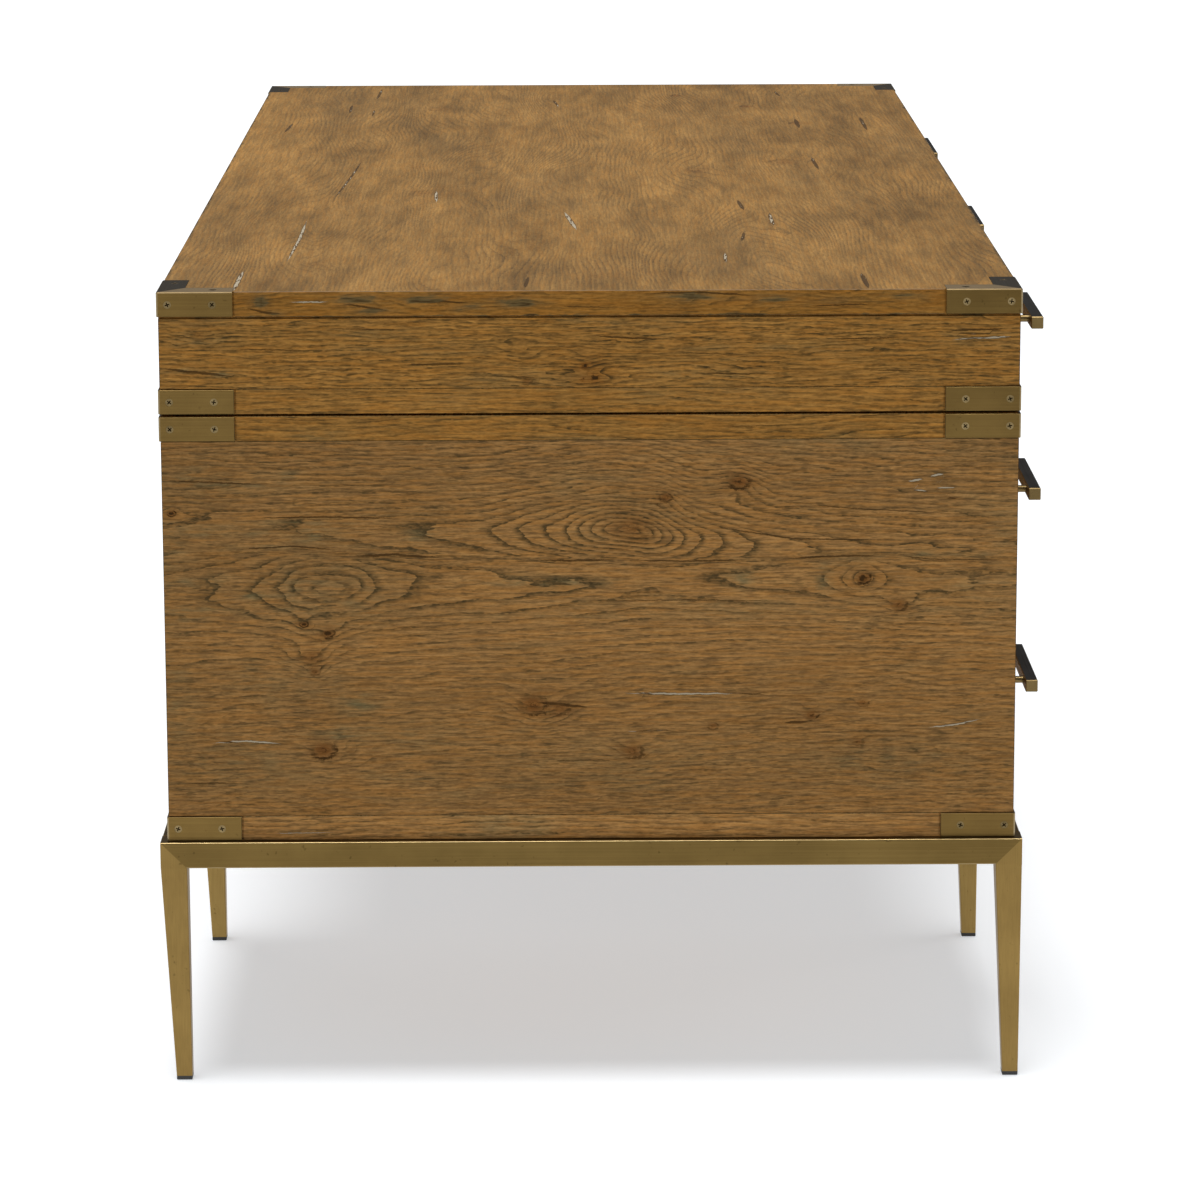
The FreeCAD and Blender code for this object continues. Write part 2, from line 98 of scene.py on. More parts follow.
def knots_into(field, knots, u, v):
    """Knots: (u, v, radius, how far growth lines bend round them, dark, warm heart)."""
    best = np.full(np.shape(u), 1e9)
    for ku, kv, r, depth, dark, red in knots:
        a, b = (u - ku) / (1.45 * r), (v - kv) / r
        far = a * a + b * b
        take = far < best
        best = np.where(take, far, best)
        field["knot_u"], field["knot_v"] = np.where(take, a, field["knot_u"]), np.where(take, b, field["knot_v"])
        field["knot_k"] = np.where(take, (0.35 * red + 0.8 * dark) * (1 - step01(3.0, 5.0, far)), field["knot_k"])
        q = far * (1 + 0.25 * noise((u + ku) / (r * 1.2 + 2), (v + kv) / (r * 0.8 + 2), 77))
        field["F"] -= depth * np.exp(-q / 5.0)
        field["red"] = np.maximum(field["red"], 0.8 * red * np.exp(-q / 1.6))
        field["tone"] -= 0.1 * red * np.exp(-q / 5.0)
        field["gain"] += 0.35 * red * np.exp(-q / 4.0)


def cracks_into(field, cracks, u, v):
    """Cracks and filled cracks as lines: (points, half width in mm, filler). Points run along u."""
    for points, width, filler in cracks:
        pts = sorted(points)
        a, b = pts[0][0], pts[-1][0]
        line = np.interp(u, [p[0] for p in pts], [p[1] for p in pts])
        line = line + 0.5 * noise(u / 9.0, 0 * u + a * 0.013, 83)
        end = max((b - a) * 0.3, 1.0)
        fade = step01(a - 2, a + end, u) * (1 - step01(b - end, b + 2, u))
        half = width * fade * np.exp(-((v - line) / 6.5) ** 4)
        take = half > field["crack_w"]
        field["crack_d"] = np.where(take, v - line, field["crack_d"])
        field["crack_w"] = np.where(take, half, field["crack_w"])
        field["filler"] = np.where(take, filler, field["filler"])


def spread(ring, u, v):
    """Ring count and the distance from one growth line to the next."""
    f = ring(u, v)
    return f, np.minimum(1.0 / np.maximum(np.hypot(ring(u + 1.0, v) - f, ring(u, v + 1.0) - f), 0.03), 26.0)


def blank(u):
    return {k: 0.0 * u for k in KEYS}


def leaf(u, v, seed, pitch=6.0, straight=False, hearts=170.0, fine=1.0):
    """Figure of one flat-sawn leaf of oak; u runs along the grain, v across it, in mm."""
    r = np.random.RandomState(seed)
    lo, hi = float(v.min()), float(v.max())
    span = max(hi - lo, 1.0)
    ulo, uhi = float(u.min()), float(u.max())
    count = 1 if straight else max(1, int(round(span / hearts)))
    cores = []
    for i in range(count):
        vc = lo + span * (i + r.uniform(0.3, 0.7)) / count
        if straight:
            vc = lo - r.uniform(30, 80) if r.rand() < 0.5 else hi + r.uniform(30, 80)
        eyes = [(r.uniform(ulo, uhi), r.uniform(60, 150), r.uniform(3, 6), r.uniform(24, 44))
                for k in range(0 if straight else max(1, int((uhi - ulo) / 520)))]
        cores.append((vc, eyes))

    def ring(u, v):
        F = None
        for i, (vc, eyes) in enumerate(cores):
            drift = 16 * noise(u / 340, 0 * u + 3.7 * i + 0.3, seed + 11)
            V = np.sqrt((v - vc - drift) ** 2 + 9.0 ** 2) / pitch + 2.4 * noise(u / 300, 0 * u + 1.9 * i + 0.6, seed + 31)
            for uk, w, a, h in eyes:
                V = V - a * np.exp(-((u - uk) / w) ** 2 - ((v - vc - drift) / h) ** 2)
            F = V if F is None else smooth_min(F, V, 1.4)
        return F + fine * (0.55 * noise(u / 95, v / 15, seed + 3) + 0.25 * noise(u / 36, v / 7, seed + 4))

    field = blank(u)
    field["F"], gap = spread(ring, u, v)
    field["gap"], field["hue"] = gap, noise(u / 150, v / 26, seed + 13) + 0.5 * noise(u / 50, v / 9, seed + 14)
    field["tone"] = 0.38 * noise(u / 240, v / 62, seed + 5) + 0.22 * noise(u / 95, v / 20, seed + 6) + 0.14 * noise(u / 50, v / 8, seed + 7)
    field["grey"] = 0.45 * step01(0.1, 0.85, noise(u / 190, v / 46, seed + 8) + 0.45 * noise(u / 60, v / 13, seed + 9))
    field["gain"] = (0.62 + 0.5 * step01(5.0, 14.0, gap)) * (1 + 0.45 * noise(u / 130, v / 34, seed + 10))
    field["pores"] = 0.6 + 0.4 * noise(u / 120, v / 30, seed + 12)
    if not straight:
        knots = []
        for k in range(int(r.poisson((uhi - ulo) * span / 60000.0))):
            rad = r.uniform(4, 11)
            knots.append((r.uniform(ulo, uhi), r.uniform(lo + 8, hi - 8), rad, r.uniform(1.5, 3.0), r.uniform(0.30, 0.62), r.uniform(0.6, 1.0)))
        knots_into(field, knots, u, v)
    cracks = []
    for k in range(int(r.poisson((uhi - ulo) * span / (22000.0 if not straight else 9000.0)))):
        cu, cv, length = r.uniform(ulo, uhi), r.uniform(lo, hi), r.uniform(25, 95)
        tilt = r.uniform(-3, 3)
        cracks.append(([(cu, cv), (cu + 0.5 * length, cv + tilt * 0.3), (cu + length, cv + tilt)], r.uniform(0.35, 0.9), 1.0 if r.rand() < 0.25 else 0.0))
    cracks_into(field, cracks, u, v)
    return field


# the near end of the desk is laid out in picture units of 0.9674 mm, counted from a point above its left side
def to_px(y, z):
    return 573.5 - (y - 32.6) / 0.9674, -433.4 + (1472.5 - z) / 0.9674


def curve(px, points, sigma=22.0):
    """A smooth line through a few (px, value) points."""
    grid = np.arange(-100.0, 1300.0, 2.0)
    val = np.interp(grid, [p[0] for p in points], [p[1] for p in points])
    kern = np.exp(-0.5 * (np.arange(-60.0, 61.0, 2.0) / sigma) ** 2)
    val = np.convolve(np.pad(val, len(kern) // 2, mode="edge"), kern / kern.sum(), mode="valid")
    return np.interp(px, grid, val)


def blob(px, py, cx, cy, wx, wy):
    return np.exp(-((px - cx) / wx) ** 2 - ((py - cy) / wy) ** 2)


def end_ring(px, py):
    """Growth lines of the near end panel: a long eye above; below a round one at the left and an open one at the right."""
    e = py - curve(px, [(165, 520), (330, 526), (408, 529), (489, 531), (543, 528), (630, 525), (685, 538), (760, 547), (900, 551), (1015, 553)], 14.0)
    e = e - 1.0 * noise(px / 60, 0 * px + 0.5, 901)
    along = curve(px, [(165, 10.6), (300, 9.8), (408, 9.0), (489, 8), (518, 7), (543, 6), (565, 5), (577, 4), (589, 3), (601, 2), (613, 1), (630, 0.2), (646, 1),
                       (655, 2), (664, 3), (674, 4), (686, 5), (705, 6), (730, 7), (761, 8), (830, 9.2), (1015, 10.4)], 5.0)
    b = np.abs(e)
    across = np.where(b < 31, b / 4.1, 31 / 4.1 + (b - 31) / 5.2)
    one = np.hypot(along, across)
    g = py - curve(px, [(165, 592), (255, 587), (335, 581), (430, 582), (599, 579), (710, 576), (860, 576), (930, 578), (1015, 580)], 14.0)
    g = g - 1.2 * noise(px / 70, 0 * px + 0.9, 903)
    along = curve(px, [(165, 5.2), (225, 4.6), (259, 4.0), (284, 3), (300, 2), (314, 1), (336, 0.2), (358, 1), (368, 2), (388, 3), (429, 4), (520, 4.6), (599, 5), (650, 5.5),
                       (710, 5), (760, 4.5), (814, 4), (846, 3), (860, 2), (875, 3), (930, 3.5), (1015, 3.7)], 5.0)
    b = np.abs(g)
    across = b / curve(px, [(165, 8.0), (336, 7.4), (600, 7.0), (860, 6.0), (1015, 6.4)], 30.0)
    two = np.hypot(along, across)
    seam = curve(px, [(165, 545), (236, 544), (350, 551), (449, 553), (530, 556), (619, 558), (700, 559), (760, 557), (880, 552), (930, 554), (1015, 558)], 16.0)
    w = step01(-3.0, 3.0, py - seam)
    calm = 1 - 0.7 * blob(px, py, 600, 528, 190, 36) - 0.6 * blob(px, py, 335, 582, 90, 34) - 0.6 * blob(px, py, 840, 576, 110, 28)
    calm = np.clip(calm - 0.65 * blob(px, py, 600, 636, 420, 48), 0.15, 1.0)
    F = one * (1 - w) + two * w
    F = F + calm * (0.50 * noise(px / 110, py / 17, 905) + 0.30 * noise(px / 40, py / 8, 906))
    F = F + (0.5 * noise(px / 26, py / 17, 908) + 0.15 * noise(px / 11, py / 8, 909)) * blob(px, py, 320, 585, 70, 36)
    return F + 1.2 * noise(px / 75, py / 42, 907) * step01(620, 700, py)


def end_panel(y, z):
    """The big outer panel of the near pedestal."""
    px, py = to_px(y, z)
    field = blank(px)
    field["F"], gap = spread(end_ring, px, py)
    field["gap"] = gap * np.clip(1 - 0.50 * blob(px, py, 335, 582, 100, 38) - 0.30 * blob(px, py, 500, 529, 110, 26) - 0.30 * blob(px, py, 725, 552, 70, 30), 0.4, 1.0)
    field["hue"] = noise(px / 140, py / 24, 971) + 0.5 * noise(px / 45, py / 8, 972)
    tone = 0.28 * noise(px / 230, py / 60, 911) + 0.16 * noise(px / 90, py / 19, 912) + 0.12 * noise(px / 50, py / 7, 913)
    tone += 0.30 * blob(px, py, 650, 540, 260, 70) + 0.16 * blob(px, py, 900, 600, 150, 60) - 0.16 * step01(700, 790, py)
    tone += 0.14 * step01(430, 520, px) * (1 - step01(560, 680, py)) - 0.20 * (1 - step01(170, 300, px))
    tone += 0.26 * blob(px, py, 620, 646, 460, 46) - 0.16 * blob(px, py, 560, 468, 500, 34)
    grey = 0.30 * step01(0.1, 0.95, noise(px / 180, py / 42, 914) + 0.5 * noise(px / 55, py / 12, 915))
    ragged = step01(-0.5, 0.6, noise(px / 22, py / 7, 916))
    smear = 0 * px
    for cx, cy, wx, wy, a in ((325, 590, 80, 34, 0.6), (322, 530, 30, 8, 0.9), (200, 576, 45, 7, 0.8), (215, 603, 40, 5, 0.7), (215, 524, 45, 6, 0.6), (240, 480, 70, 7, 0.7),
                              (262, 590, 12, 9, 1.0), (550, 579, 55, 5, 1.0), (525, 578, 26, 7, 0.7), (742, 577, 18, 9, 1.0), (820, 575, 8, 16, 0.9), (300, 541, 90, 5, 0.5),
                              (362, 700, 22, 14, 1.0), (355, 732, 46, 9, 0.8), (290, 676, 60, 24, 0.5), (185, 700, 20, 50, 0.6), (420, 735, 50, 16, 0.5), (880, 760, 90, 20, 0.5),
                              (650, 752, 110, 18, 0.4), (970, 585, 60, 16, 0.4), (1000, 530, 20, 40, 0.4), (420, 530, 16, 8, 0.9), (250, 760, 70, 30, 0.5), (930, 552, 70, 5, 0.7), (235, 528, 60, 4, 0.9), (180, 545, 20, 26, 0.6), (195, 470, 40, 12, 0.6), (300, 518, 60, 3, 0.8), (190, 610, 24, 12, 0.6), (285, 470, 34, 4, 0.7),
                              (560, 760, 120, 14, 0.35), (895, 598, 18, 6, 0.5), (700, 600, 200, 5, 0.4), (600, 612, 200, 5, 0.35)):
        grey = np.maximum(grey, a * blob(px, py, cx, cy, wx, wy) * (0.25 + 0.75 * ragged))
        smear = np.maximum(smear, a * blob(px, py, cx, cy, wx, wy) * (0.55 + 0.45 * ragged))
    field["tone"], field["grey"] = tone, np.clip(grey, 0, 0.95)
    field["wear_and_shade"] = 0.44 * step01(0.28, 0.85, smear)
    gain = (0.66 + 0.40 * step01(5.5, 14.0, gap)) * (1 + 0.45 * noise(px / 120, py / 22, 917))
    gain *= 1 - 0.45 * step01(640, 720, py)
    gain *= 1 - blob(px, py, 338, 582, 80, 36) * (0.10 - 1.0 * noise(px / 17, py / 13, 980))
    gain += 0.45 * blob(px, py, 585, 527, 190, 34) + 0.25 * blob(px, py, 338, 582, 105, 36) + 0.40 * blob(px, py, 730, 577, 45, 24) + 0.35 * blob(px, py, 560, 580, 90, 14)
    gain -= 0.06 * blob(px, py, 620, 646, 460, 40)
    gain += 0.45 * blob(px, py, 415, 529, 26, 12) + 0.4 * blob(px, py, 500, 531, 40, 18) + 0.4 * blob(px, py, 715, 541, 45, 16) + 0.5 * blob(px, py, 415, 582, 34, 18)
    gain += 0.4 * blob(px, py, 385, 580, 20, 20) + 0.3 * blob(px, py, 816, 575, 12, 24) + 0.6 * blob(px, py, 270, 592, 20, 15) + 0.4 * blob(px, py, 300, 604, 34, 14) - 0.30 * blob(px, py, 628, 525, 42, 22) - 0.45 * blob(px, py, 862, 576, 30, 15)
    field["gain"] = np.clip(gain, 0.05, 1.45)
    field["pores"] = 0.75 + 0.35 * noise(px / 120, py / 30, 918) - 0.22 * blob(px, py, 620, 650, 460, 50)
    knots_into(field, [(737, 479, 8, 2.2, 0.5, 1.0), (665, 494, 5, 1.2, 0.55, 0.8), (310, 620, 3.5, 0.9, 0.8, 0.9), (333, 629, 5, 1.2, 0.75, 0.9),
                       (316, 653, 8, 2.4, 0.30, 0.6), (320, 668, 4, 1.0, 0.6, 0.9), (535, 702, 10, 2.4, 0.5, 1.0), (327, 748, 9, 2.6, 0.6, 0.9),
                       (632, 750, 8, 2.0, 0.40, 0.9), (809, 714, 5, 1.2, 0.6, 0.8), (712, 725, 4, 0.9, 0.5, 0.5), (860, 702, 4, 1.0, 0.5, 0.7),
                       (895, 603, 6, 1.5, 0.3, 1.0), (182, 508, 3.5, 0.9, 0.9, 0.9), (859, 576, 6, 1.2, 0.75, 1.0), (855, 742, 4, 0.8, 0.4, 0.5),
                       (632, 524, 14, 0.0, 0.05, 0.75), (560, 706, 8, 0.6, 0.2, 0.9)], px, py)
    cracks_into(field, [([(213, 740), (250, 738), (290, 741)], 1.1, 1.0), ([(616, 691), (680, 692), (745, 692)], 1.1, 1.0), ([(735, 692), (765, 693)], 0.7, 0.0),
                        ([(922, 728), (950, 725), (978, 719)], 1.1, 1.0), ([(903, 479), (916, 477)], 1.3, 0.8), ([(924, 474), (937, 472)], 1.3, 0.8),
                        ([(908, 488), (922, 489)], 1.1, 0.8), ([(930, 486), (950, 485)], 1.0, 0.8), ([(940, 496), (952, 496)], 0.9, 0.0),
                        ([(170, 475), (220, 477), (282, 480)], 0.8, 0.0), ([(352, 552), (400, 550), (452, 554)], 1.1, 0.0), ([(530, 556), (570, 557), (622, 556)], 0.9, 0.0),
                        ([(625, 557), (690, 558), (752, 557)], 0.8, 0.0), ([(770, 557), (820, 554), (882, 553)], 0.9, 0.0), ([(882, 553), (930, 557), (1005, 559)], 0.6, 0.0),
                        ([(535, 700), (562, 702), (592, 706)], 1.3, 0.0), ([(783, 722), (806, 721)], 1.3, 0.0), ([(236, 545), (300, 541), (352, 546)], 0.8, 0.0),
                        ([(250, 513), (330, 512), (420, 514)], 0.8, 0.0), ([(585, 598), (680, 597), (800, 599)], 0.5, 0.0), ([(780, 500), (850, 506), (960, 512)], 0.5, 0.0),
                        ([(690, 520), (790, 536), (900, 538)], 0.7, 0.0), ([(620, 730), (680, 729)], 0.6, 0.6), ([(545, 760), (610, 759)], 0.5, 0.0), ([(180, 780), (260, 782)], 0.5, 0.0)], px, py)
    return field


def upper_ring(px, py):
    drift = 5 * noise(px / 210, 0 * px + 0.4, 921) + 9 * np.exp(-((px - 590) / 75) ** 2) * np.tanh((py - 372) / 6.0) * np.exp(-((py - 372) / 22) ** 2)
    F = (py - drift) / 4.8 + 1.1 * noise(px / 150, py / 26, 922) + 0.6 * noise(px / 60, py / 11, 923) + 0.3 * noise(px / 26, py / 5, 924)
    return F + 2.2 * noise(px / 46, py / 17, 925) * np.exp(-((px - 555) / 60) ** 2 - ((py - 345) / 26) ** 2)


def joint_painted_shade(px, py):
    """Painted shade: a ragged dark band where the desktop's edge meets the panel below it."""
    return np.exp(-np.abs(py - 313.4) / 2.6) * np.clip(0.25 + 1.1 * noise(px / 34, 0 * px + 0.7, 976) + 0.5 * noise(px / 9, 0 * px + 0.2, 977), 0, 1)


def upper_panel(y, z):
    """The end panel of the upper case: close, nearly straight grain that bends round one dark knot."""
    px, py = to_px(y, z)
    field = blank(px)
    field["F"], gap = spread(upper_ring, px, py)
    field["gap"], field["hue"] = gap, noise(px / 120, py / 20, 973) + 0.5 * noise(px / 45, py / 8, 974)
    field["tone"] = 0.32 * noise(px / 200, py / 40, 926) + 0.24 * noise(px / 90, py / 14, 927) + 0.20 * noise(px / 50, py / 6, 928)
    grey = 0.35 * step01(0.1, 0.95, noise(px / 150, py / 28, 929) + 0.5 * noise(px / 50, py / 9, 930))
    ragged = step01(-0.5, 0.6, noise(px / 20, py / 6, 936))
    for cx, cy, wx, wy, a in ((210, 335, 35, 8, 0.8), (200, 366, 30, 4, 0.9), (235, 370, 20, 4, 0.8), (700, 372, 60, 10, 0.5), (800, 345, 70, 8, 0.4), (430, 345, 60, 8, 0.4), (960, 338, 40, 5, 0.6)):
        grey = np.maximum(grey, a * blob(px, py, cx, cy, wx, wy) * (0.25 + 0.75 * ragged))
    field["grey"] = grey
    # painted shade along the joint under the desktop
    field["wear_and_shade"] = joint_painted_shade(px, py)
    field["gain"] = np.clip((0.72 + 0.45 * step01(5.5, 13.0, gap)) * (1 + 0.5 * noise(px / 100, py / 15, 931)), 0.05, 1.3)
    field["pores"] = 0.85 + 0.4 * noise(px / 90, py / 20, 932)
    knots_into(field, [(588, 363, 5, 0.5, 0.80, 1.0), (596, 375, 6, 0.5, 0.85, 1.0), (585, 377, 3.5, 0.3, 0.6, 0.8), (592, 370, 15, 0.2, 0.0, 0.55), (530, 378, 4, 0.3, 0.35, 0.4),
                       (212, 331, 6, 1.0, 0.2, 0.3)], px, py)
    cracks_into(field, [([(172, 363), (200, 367), (246, 372)], 1.2, 0.0), ([(408, 361), (440, 361), (476, 360)], 0.9, 0.0), ([(590, 333), (630, 336), (668, 337)], 0.9, 0.0),
                        ([(700, 371), (760, 372)], 0.7, 0.0), ([(240, 345), (330, 347)], 0.6, 0.0), ([(820, 338), (900, 336)], 0.7, 0.0), ([(940, 339), (975, 337), (1010, 336)], 1.2, 0.7),
                        ([(936, 330), (1000, 328)], 0.9, 0.0), ([(330, 325), (420, 327)], 0.5, 0.0), ([(660, 350), (760, 353)], 0.5, 0.0), ([(850, 368), (930, 370)], 0.6, 0.0),
                        ([(480, 372), (550, 375)], 0.5, 0.0)], px, py)
    return field


def slab_ring(px, py):
    return (py + 5 * noise(px / 120, 0 * px, 941)) / 6.5 + 2.0 * noise(px / 110, py / 24, 942) + 0.6 * noise(px / 40, py / 10, 943)


def slab_end(y, z):
    """The near edge of the desktop: warm, with smears of grey wax."""
    px, py = to_px(y, z)
    field = blank(px)
    field["F"], field["gap"] = spread(slab_ring, px, py)
    field["hue"] = 0.4 + noise(px / 90, py / 12, 975)
    field["tone"] = -0.34 + 0.3 * noise(px / 120, py / 18, 944) + 0.25 * noise(px / 50, py / 7, 945)
    grey = 0.25 * step01(0.2, 0.9, noise(px / 90, py / 16, 946))
    for cx, cy, wx, wy, a in ((272, 299, 9, 8, 0.9), (366, 297, 26, 5, 0.95), (432, 297, 24, 5, 1.0), (478, 305, 24, 4, 0.7), (520, 300, 26, 6, 0.9),
                              (690, 295, 36, 5, 0.95), (770, 298, 30, 5, 0.7), (830, 300, 40, 5, 0.5), (285, 310, 14, 3, 0.7), (380, 308, 22, 4, 0.8), (900, 296, 24, 4, 0.7)):
        wob = 1 + 0.6 * noise(px / 14, py / 5, 947)
        grey = np.maximum(grey, a * np.exp(-(((px - cx) / wx) ** 2 + ((py - cy) / wy) ** 2) * wob))
    field["grey"] = grey
    # painted shade along the joint under the desktop, and grey wear where the wax smears are
    field["wear_and_shade"] = np.maximum(joint_painted_shade(px, py), 0.60 * step01(0.22, 0.70, grey))
    field["gain"] = np.clip(0.45 + 0.5 * noise(px / 80, py / 14, 948), 0.05, 1.0)
    field["red"], field["pores"] = 0.24 + 0.12 * noise(px / 60, py / 12, 949), 0.6 + 0 * px
    cracks_into(field, [([(258, 304), (275, 309), (295, 311)], 1.0, 0.0), ([(352, 301), (380, 305), (400, 309)], 1.0, 0.0), ([(300, 299), (340, 299)], 0.9, 1.0), ([(640, 292), (700, 291), (760, 295)], 0.9, 0.0),
                        ([(418, 300), (450, 299), (478, 301)], 0.9, 0.0), ([(800, 305), (870, 303)], 0.7, 0.0), ([(560, 304), (620, 306)], 0.6, 0.0)], px, py)
    return field


TOP_CRACKS = [([(116, 268), (-54, 276), (-243, 287)], 0.9), ([(-362, 306), (-502, 306), (-672, 310)], 1.3), ([(-710, 348), (-777, 349), (-838, 349)], 1.8), ([(443, 369), (346, 375)], 1.3),
              ([(802, 275), (681, 277)], 1.3), ([(628, 306), (534, 305)], 1.3), ([(575, 275), (503, 276)], 1.0), ([(-159, 178), (-251, 175)], 1.5), ([(-319, 39), (-462, 25)], 1.8),
              ([(-754, 73), (-825, 76)], 1.3), ([(669, 52), (594, 45)], 1.3), ([(-238, -147), (-320, -151)], 1.6), ([(-335, -176), (-435, -177)], 1.6), ([(-470, -145), (-538, -140)], 1.3),
              ([(-610, -120), (-674, -119)], 1.3), ([(113, -245), (-7, -248)], 1.6), ([(489, -326), (342, -326)], 1.6), ([(-737, -246), (-838, -247)], 1.8), ([(470, -245), (371, -246)], 1.8),
              ([(754, -234), (699, -238)], 1.3)]
TOP_FILL = (0.4, 0.9, 0.9, 0.3, 0.4, 0.4, 0.3, 1.0, 1.0, 0.15, 0.4, 0.25, 0.7, 0.1, 0.8, 0.3, 0.2, 0.25, 0.1, 0.4)


TOP_EYES = [(-560, 60, 210, 34, 5.0), (-620, 210, 190, 36, -4.5), (-585, -209, 190, 30, 5.5), (-230, 110, 240, 36, 4.0), (60, -60, 260, 40, -4.5),
            (-330, -320, 240, 34, 4.5), (420, 120, 280, 44, 4.5), (520, -250, 260, 40, -4.0), (-60, 330, 260, 40, 4.0), (574, 195, 60, 22, 4.0)]
rnd = np.random.RandomState(77)
TOP_EYES += [(rnd.uniform(-800, 800), rnd.uniform(-370, 400), rnd.uniform(110, 260), rnd.uniform(20, 36), rnd.choice((-1, 1)) * rnd.uniform(2.4, 4.2)) for k in range(34)]


def desktop_ring(x, y):
    warp = 24 * noise(x / 520, y / 140, 951) + 9 * noise(x / 210, y / 60, 952)
    F = (y + warp) / 6.2 + 1.6 * noise(x / 300, y / 62, 953) + 0.5 * noise(x / 120, y / 26, 954) + 0.12 * noise(x / 40, y / 10, 955)
    for cx, cy, wx, wy, a in TOP_EYES:
        F = F + a * np.exp(-((x - cx) / wx) ** 2 - ((y - cy) / wy) ** 2)
    return F


def desktop(x, y):
    """The writing surface: fine wavy figure all over, in blotches of gold and grey."""
    field = blank(x)
    field["F"], field["gap"] = spread(desktop_ring, x, y)
    tone = 0.44 * noise(x / 520, y / 115, 956) + 0.58 * noise(x / 230, y / 54, 957) + 0.66 * noise(x / 110, y / 24, 958) + 0.46 * noise(x / 55, y / 12, 963) - 0.30 * step01(120, 390, -y)
    tone += 0.30 * np.exp(-((x + 585) / 160) ** 2 - ((y + 209) / 55) ** 2) - 0.25 * step01(500, 838, x)
    tone += 0.10 * np.exp(-(x / 380) ** 2) - 0.14 * (1 - step01(-838, -560, x))
    field["tone"] = tone
    # Painted shade, with edge wear: a dark band along the top's far and side edges
    rim = np.minimum(np.minimum(838 - x, 420 - y), y + 390)
    field["wear_and_shade"] = np.clip(0.62 + 0.35 * noise(x / 45, y / 45, 985) + 0.2 * noise(x / 14, y / 14, 986), 0, 1) * np.clip(1 - rim / 6.0, 0, 1)
    field["grey"] = 0.26 * step01(0.0, 0.95, noise(x / 420, y / 90, 959) + 0.6 * noise(x / 170, y / 38, 960))
    field["hue"] = noise(x / 110, y / 160, 978) + 0.6 * noise(x / 60, y / 50, 979)
    field["gain"] = np.clip(0.52 + 0.6 * noise(x / 280, y / 70, 961), 0.05, 1.0)
    field["pores"] = 0.35 + 0.3 * noise(x / 120, y / 40, 962)
    knots_into(field, [(574, 195, 13, 1.5, 0.10, 0.25), (593, -190, 7, 0.8, 0.75, 0.6), (711, -105, 7, 0.8, 0.65, 0.6), (38, 201, 14, 1.0, 0.12, 0.2),
                       (-182, 191, 16, 1.2, 0.25, 0.2), (-6, -113, 16, 1.0, 0.2, 0.2), (-672, 278, 10, 1.0, 0.2, 0.2), (420, -245, 9, 0.6, 0.6, 0.4), (60, -212, 18, 0.8, 0.25, 0.25)], x, y)
    cracks_into(field, [(p, w * 1.3, f) for (p, w), f in zip(TOP_CRACKS, TOP_FILL)], x, y)
    return field


def slice_faces(bm, faces, axis, places):
    """Cuts the faces at each place along an axis, halving the list so that each cut only meets what it divides."""
    if not places or not faces:
        return
    mid = len(places) // 2
    co, no = [0.0, 0.0, 0.0], [0.0, 0.0, 0.0]
    co[axis], no[axis] = places[mid], 1.0
    edges = {e for f in faces for e in f.edges}
    verts = {v for f in faces for v in f.verts}
    made = bmesh.ops.bisect_plane(bm, geom=list(faces) + list(edges) + list(verts), dist=1e-7, plane_co=co, plane_no=no)
    low, high = [], []
    for f in made["geom"]:
        if isinstance(f, bmesh.types.BMFace):
            (low if f.calc_center_median()[axis] < places[mid] else high).append(f)
    slice_faces(bm, low, axis, places[:mid])
    slice_faces(bm, high, axis, places[mid + 1:])


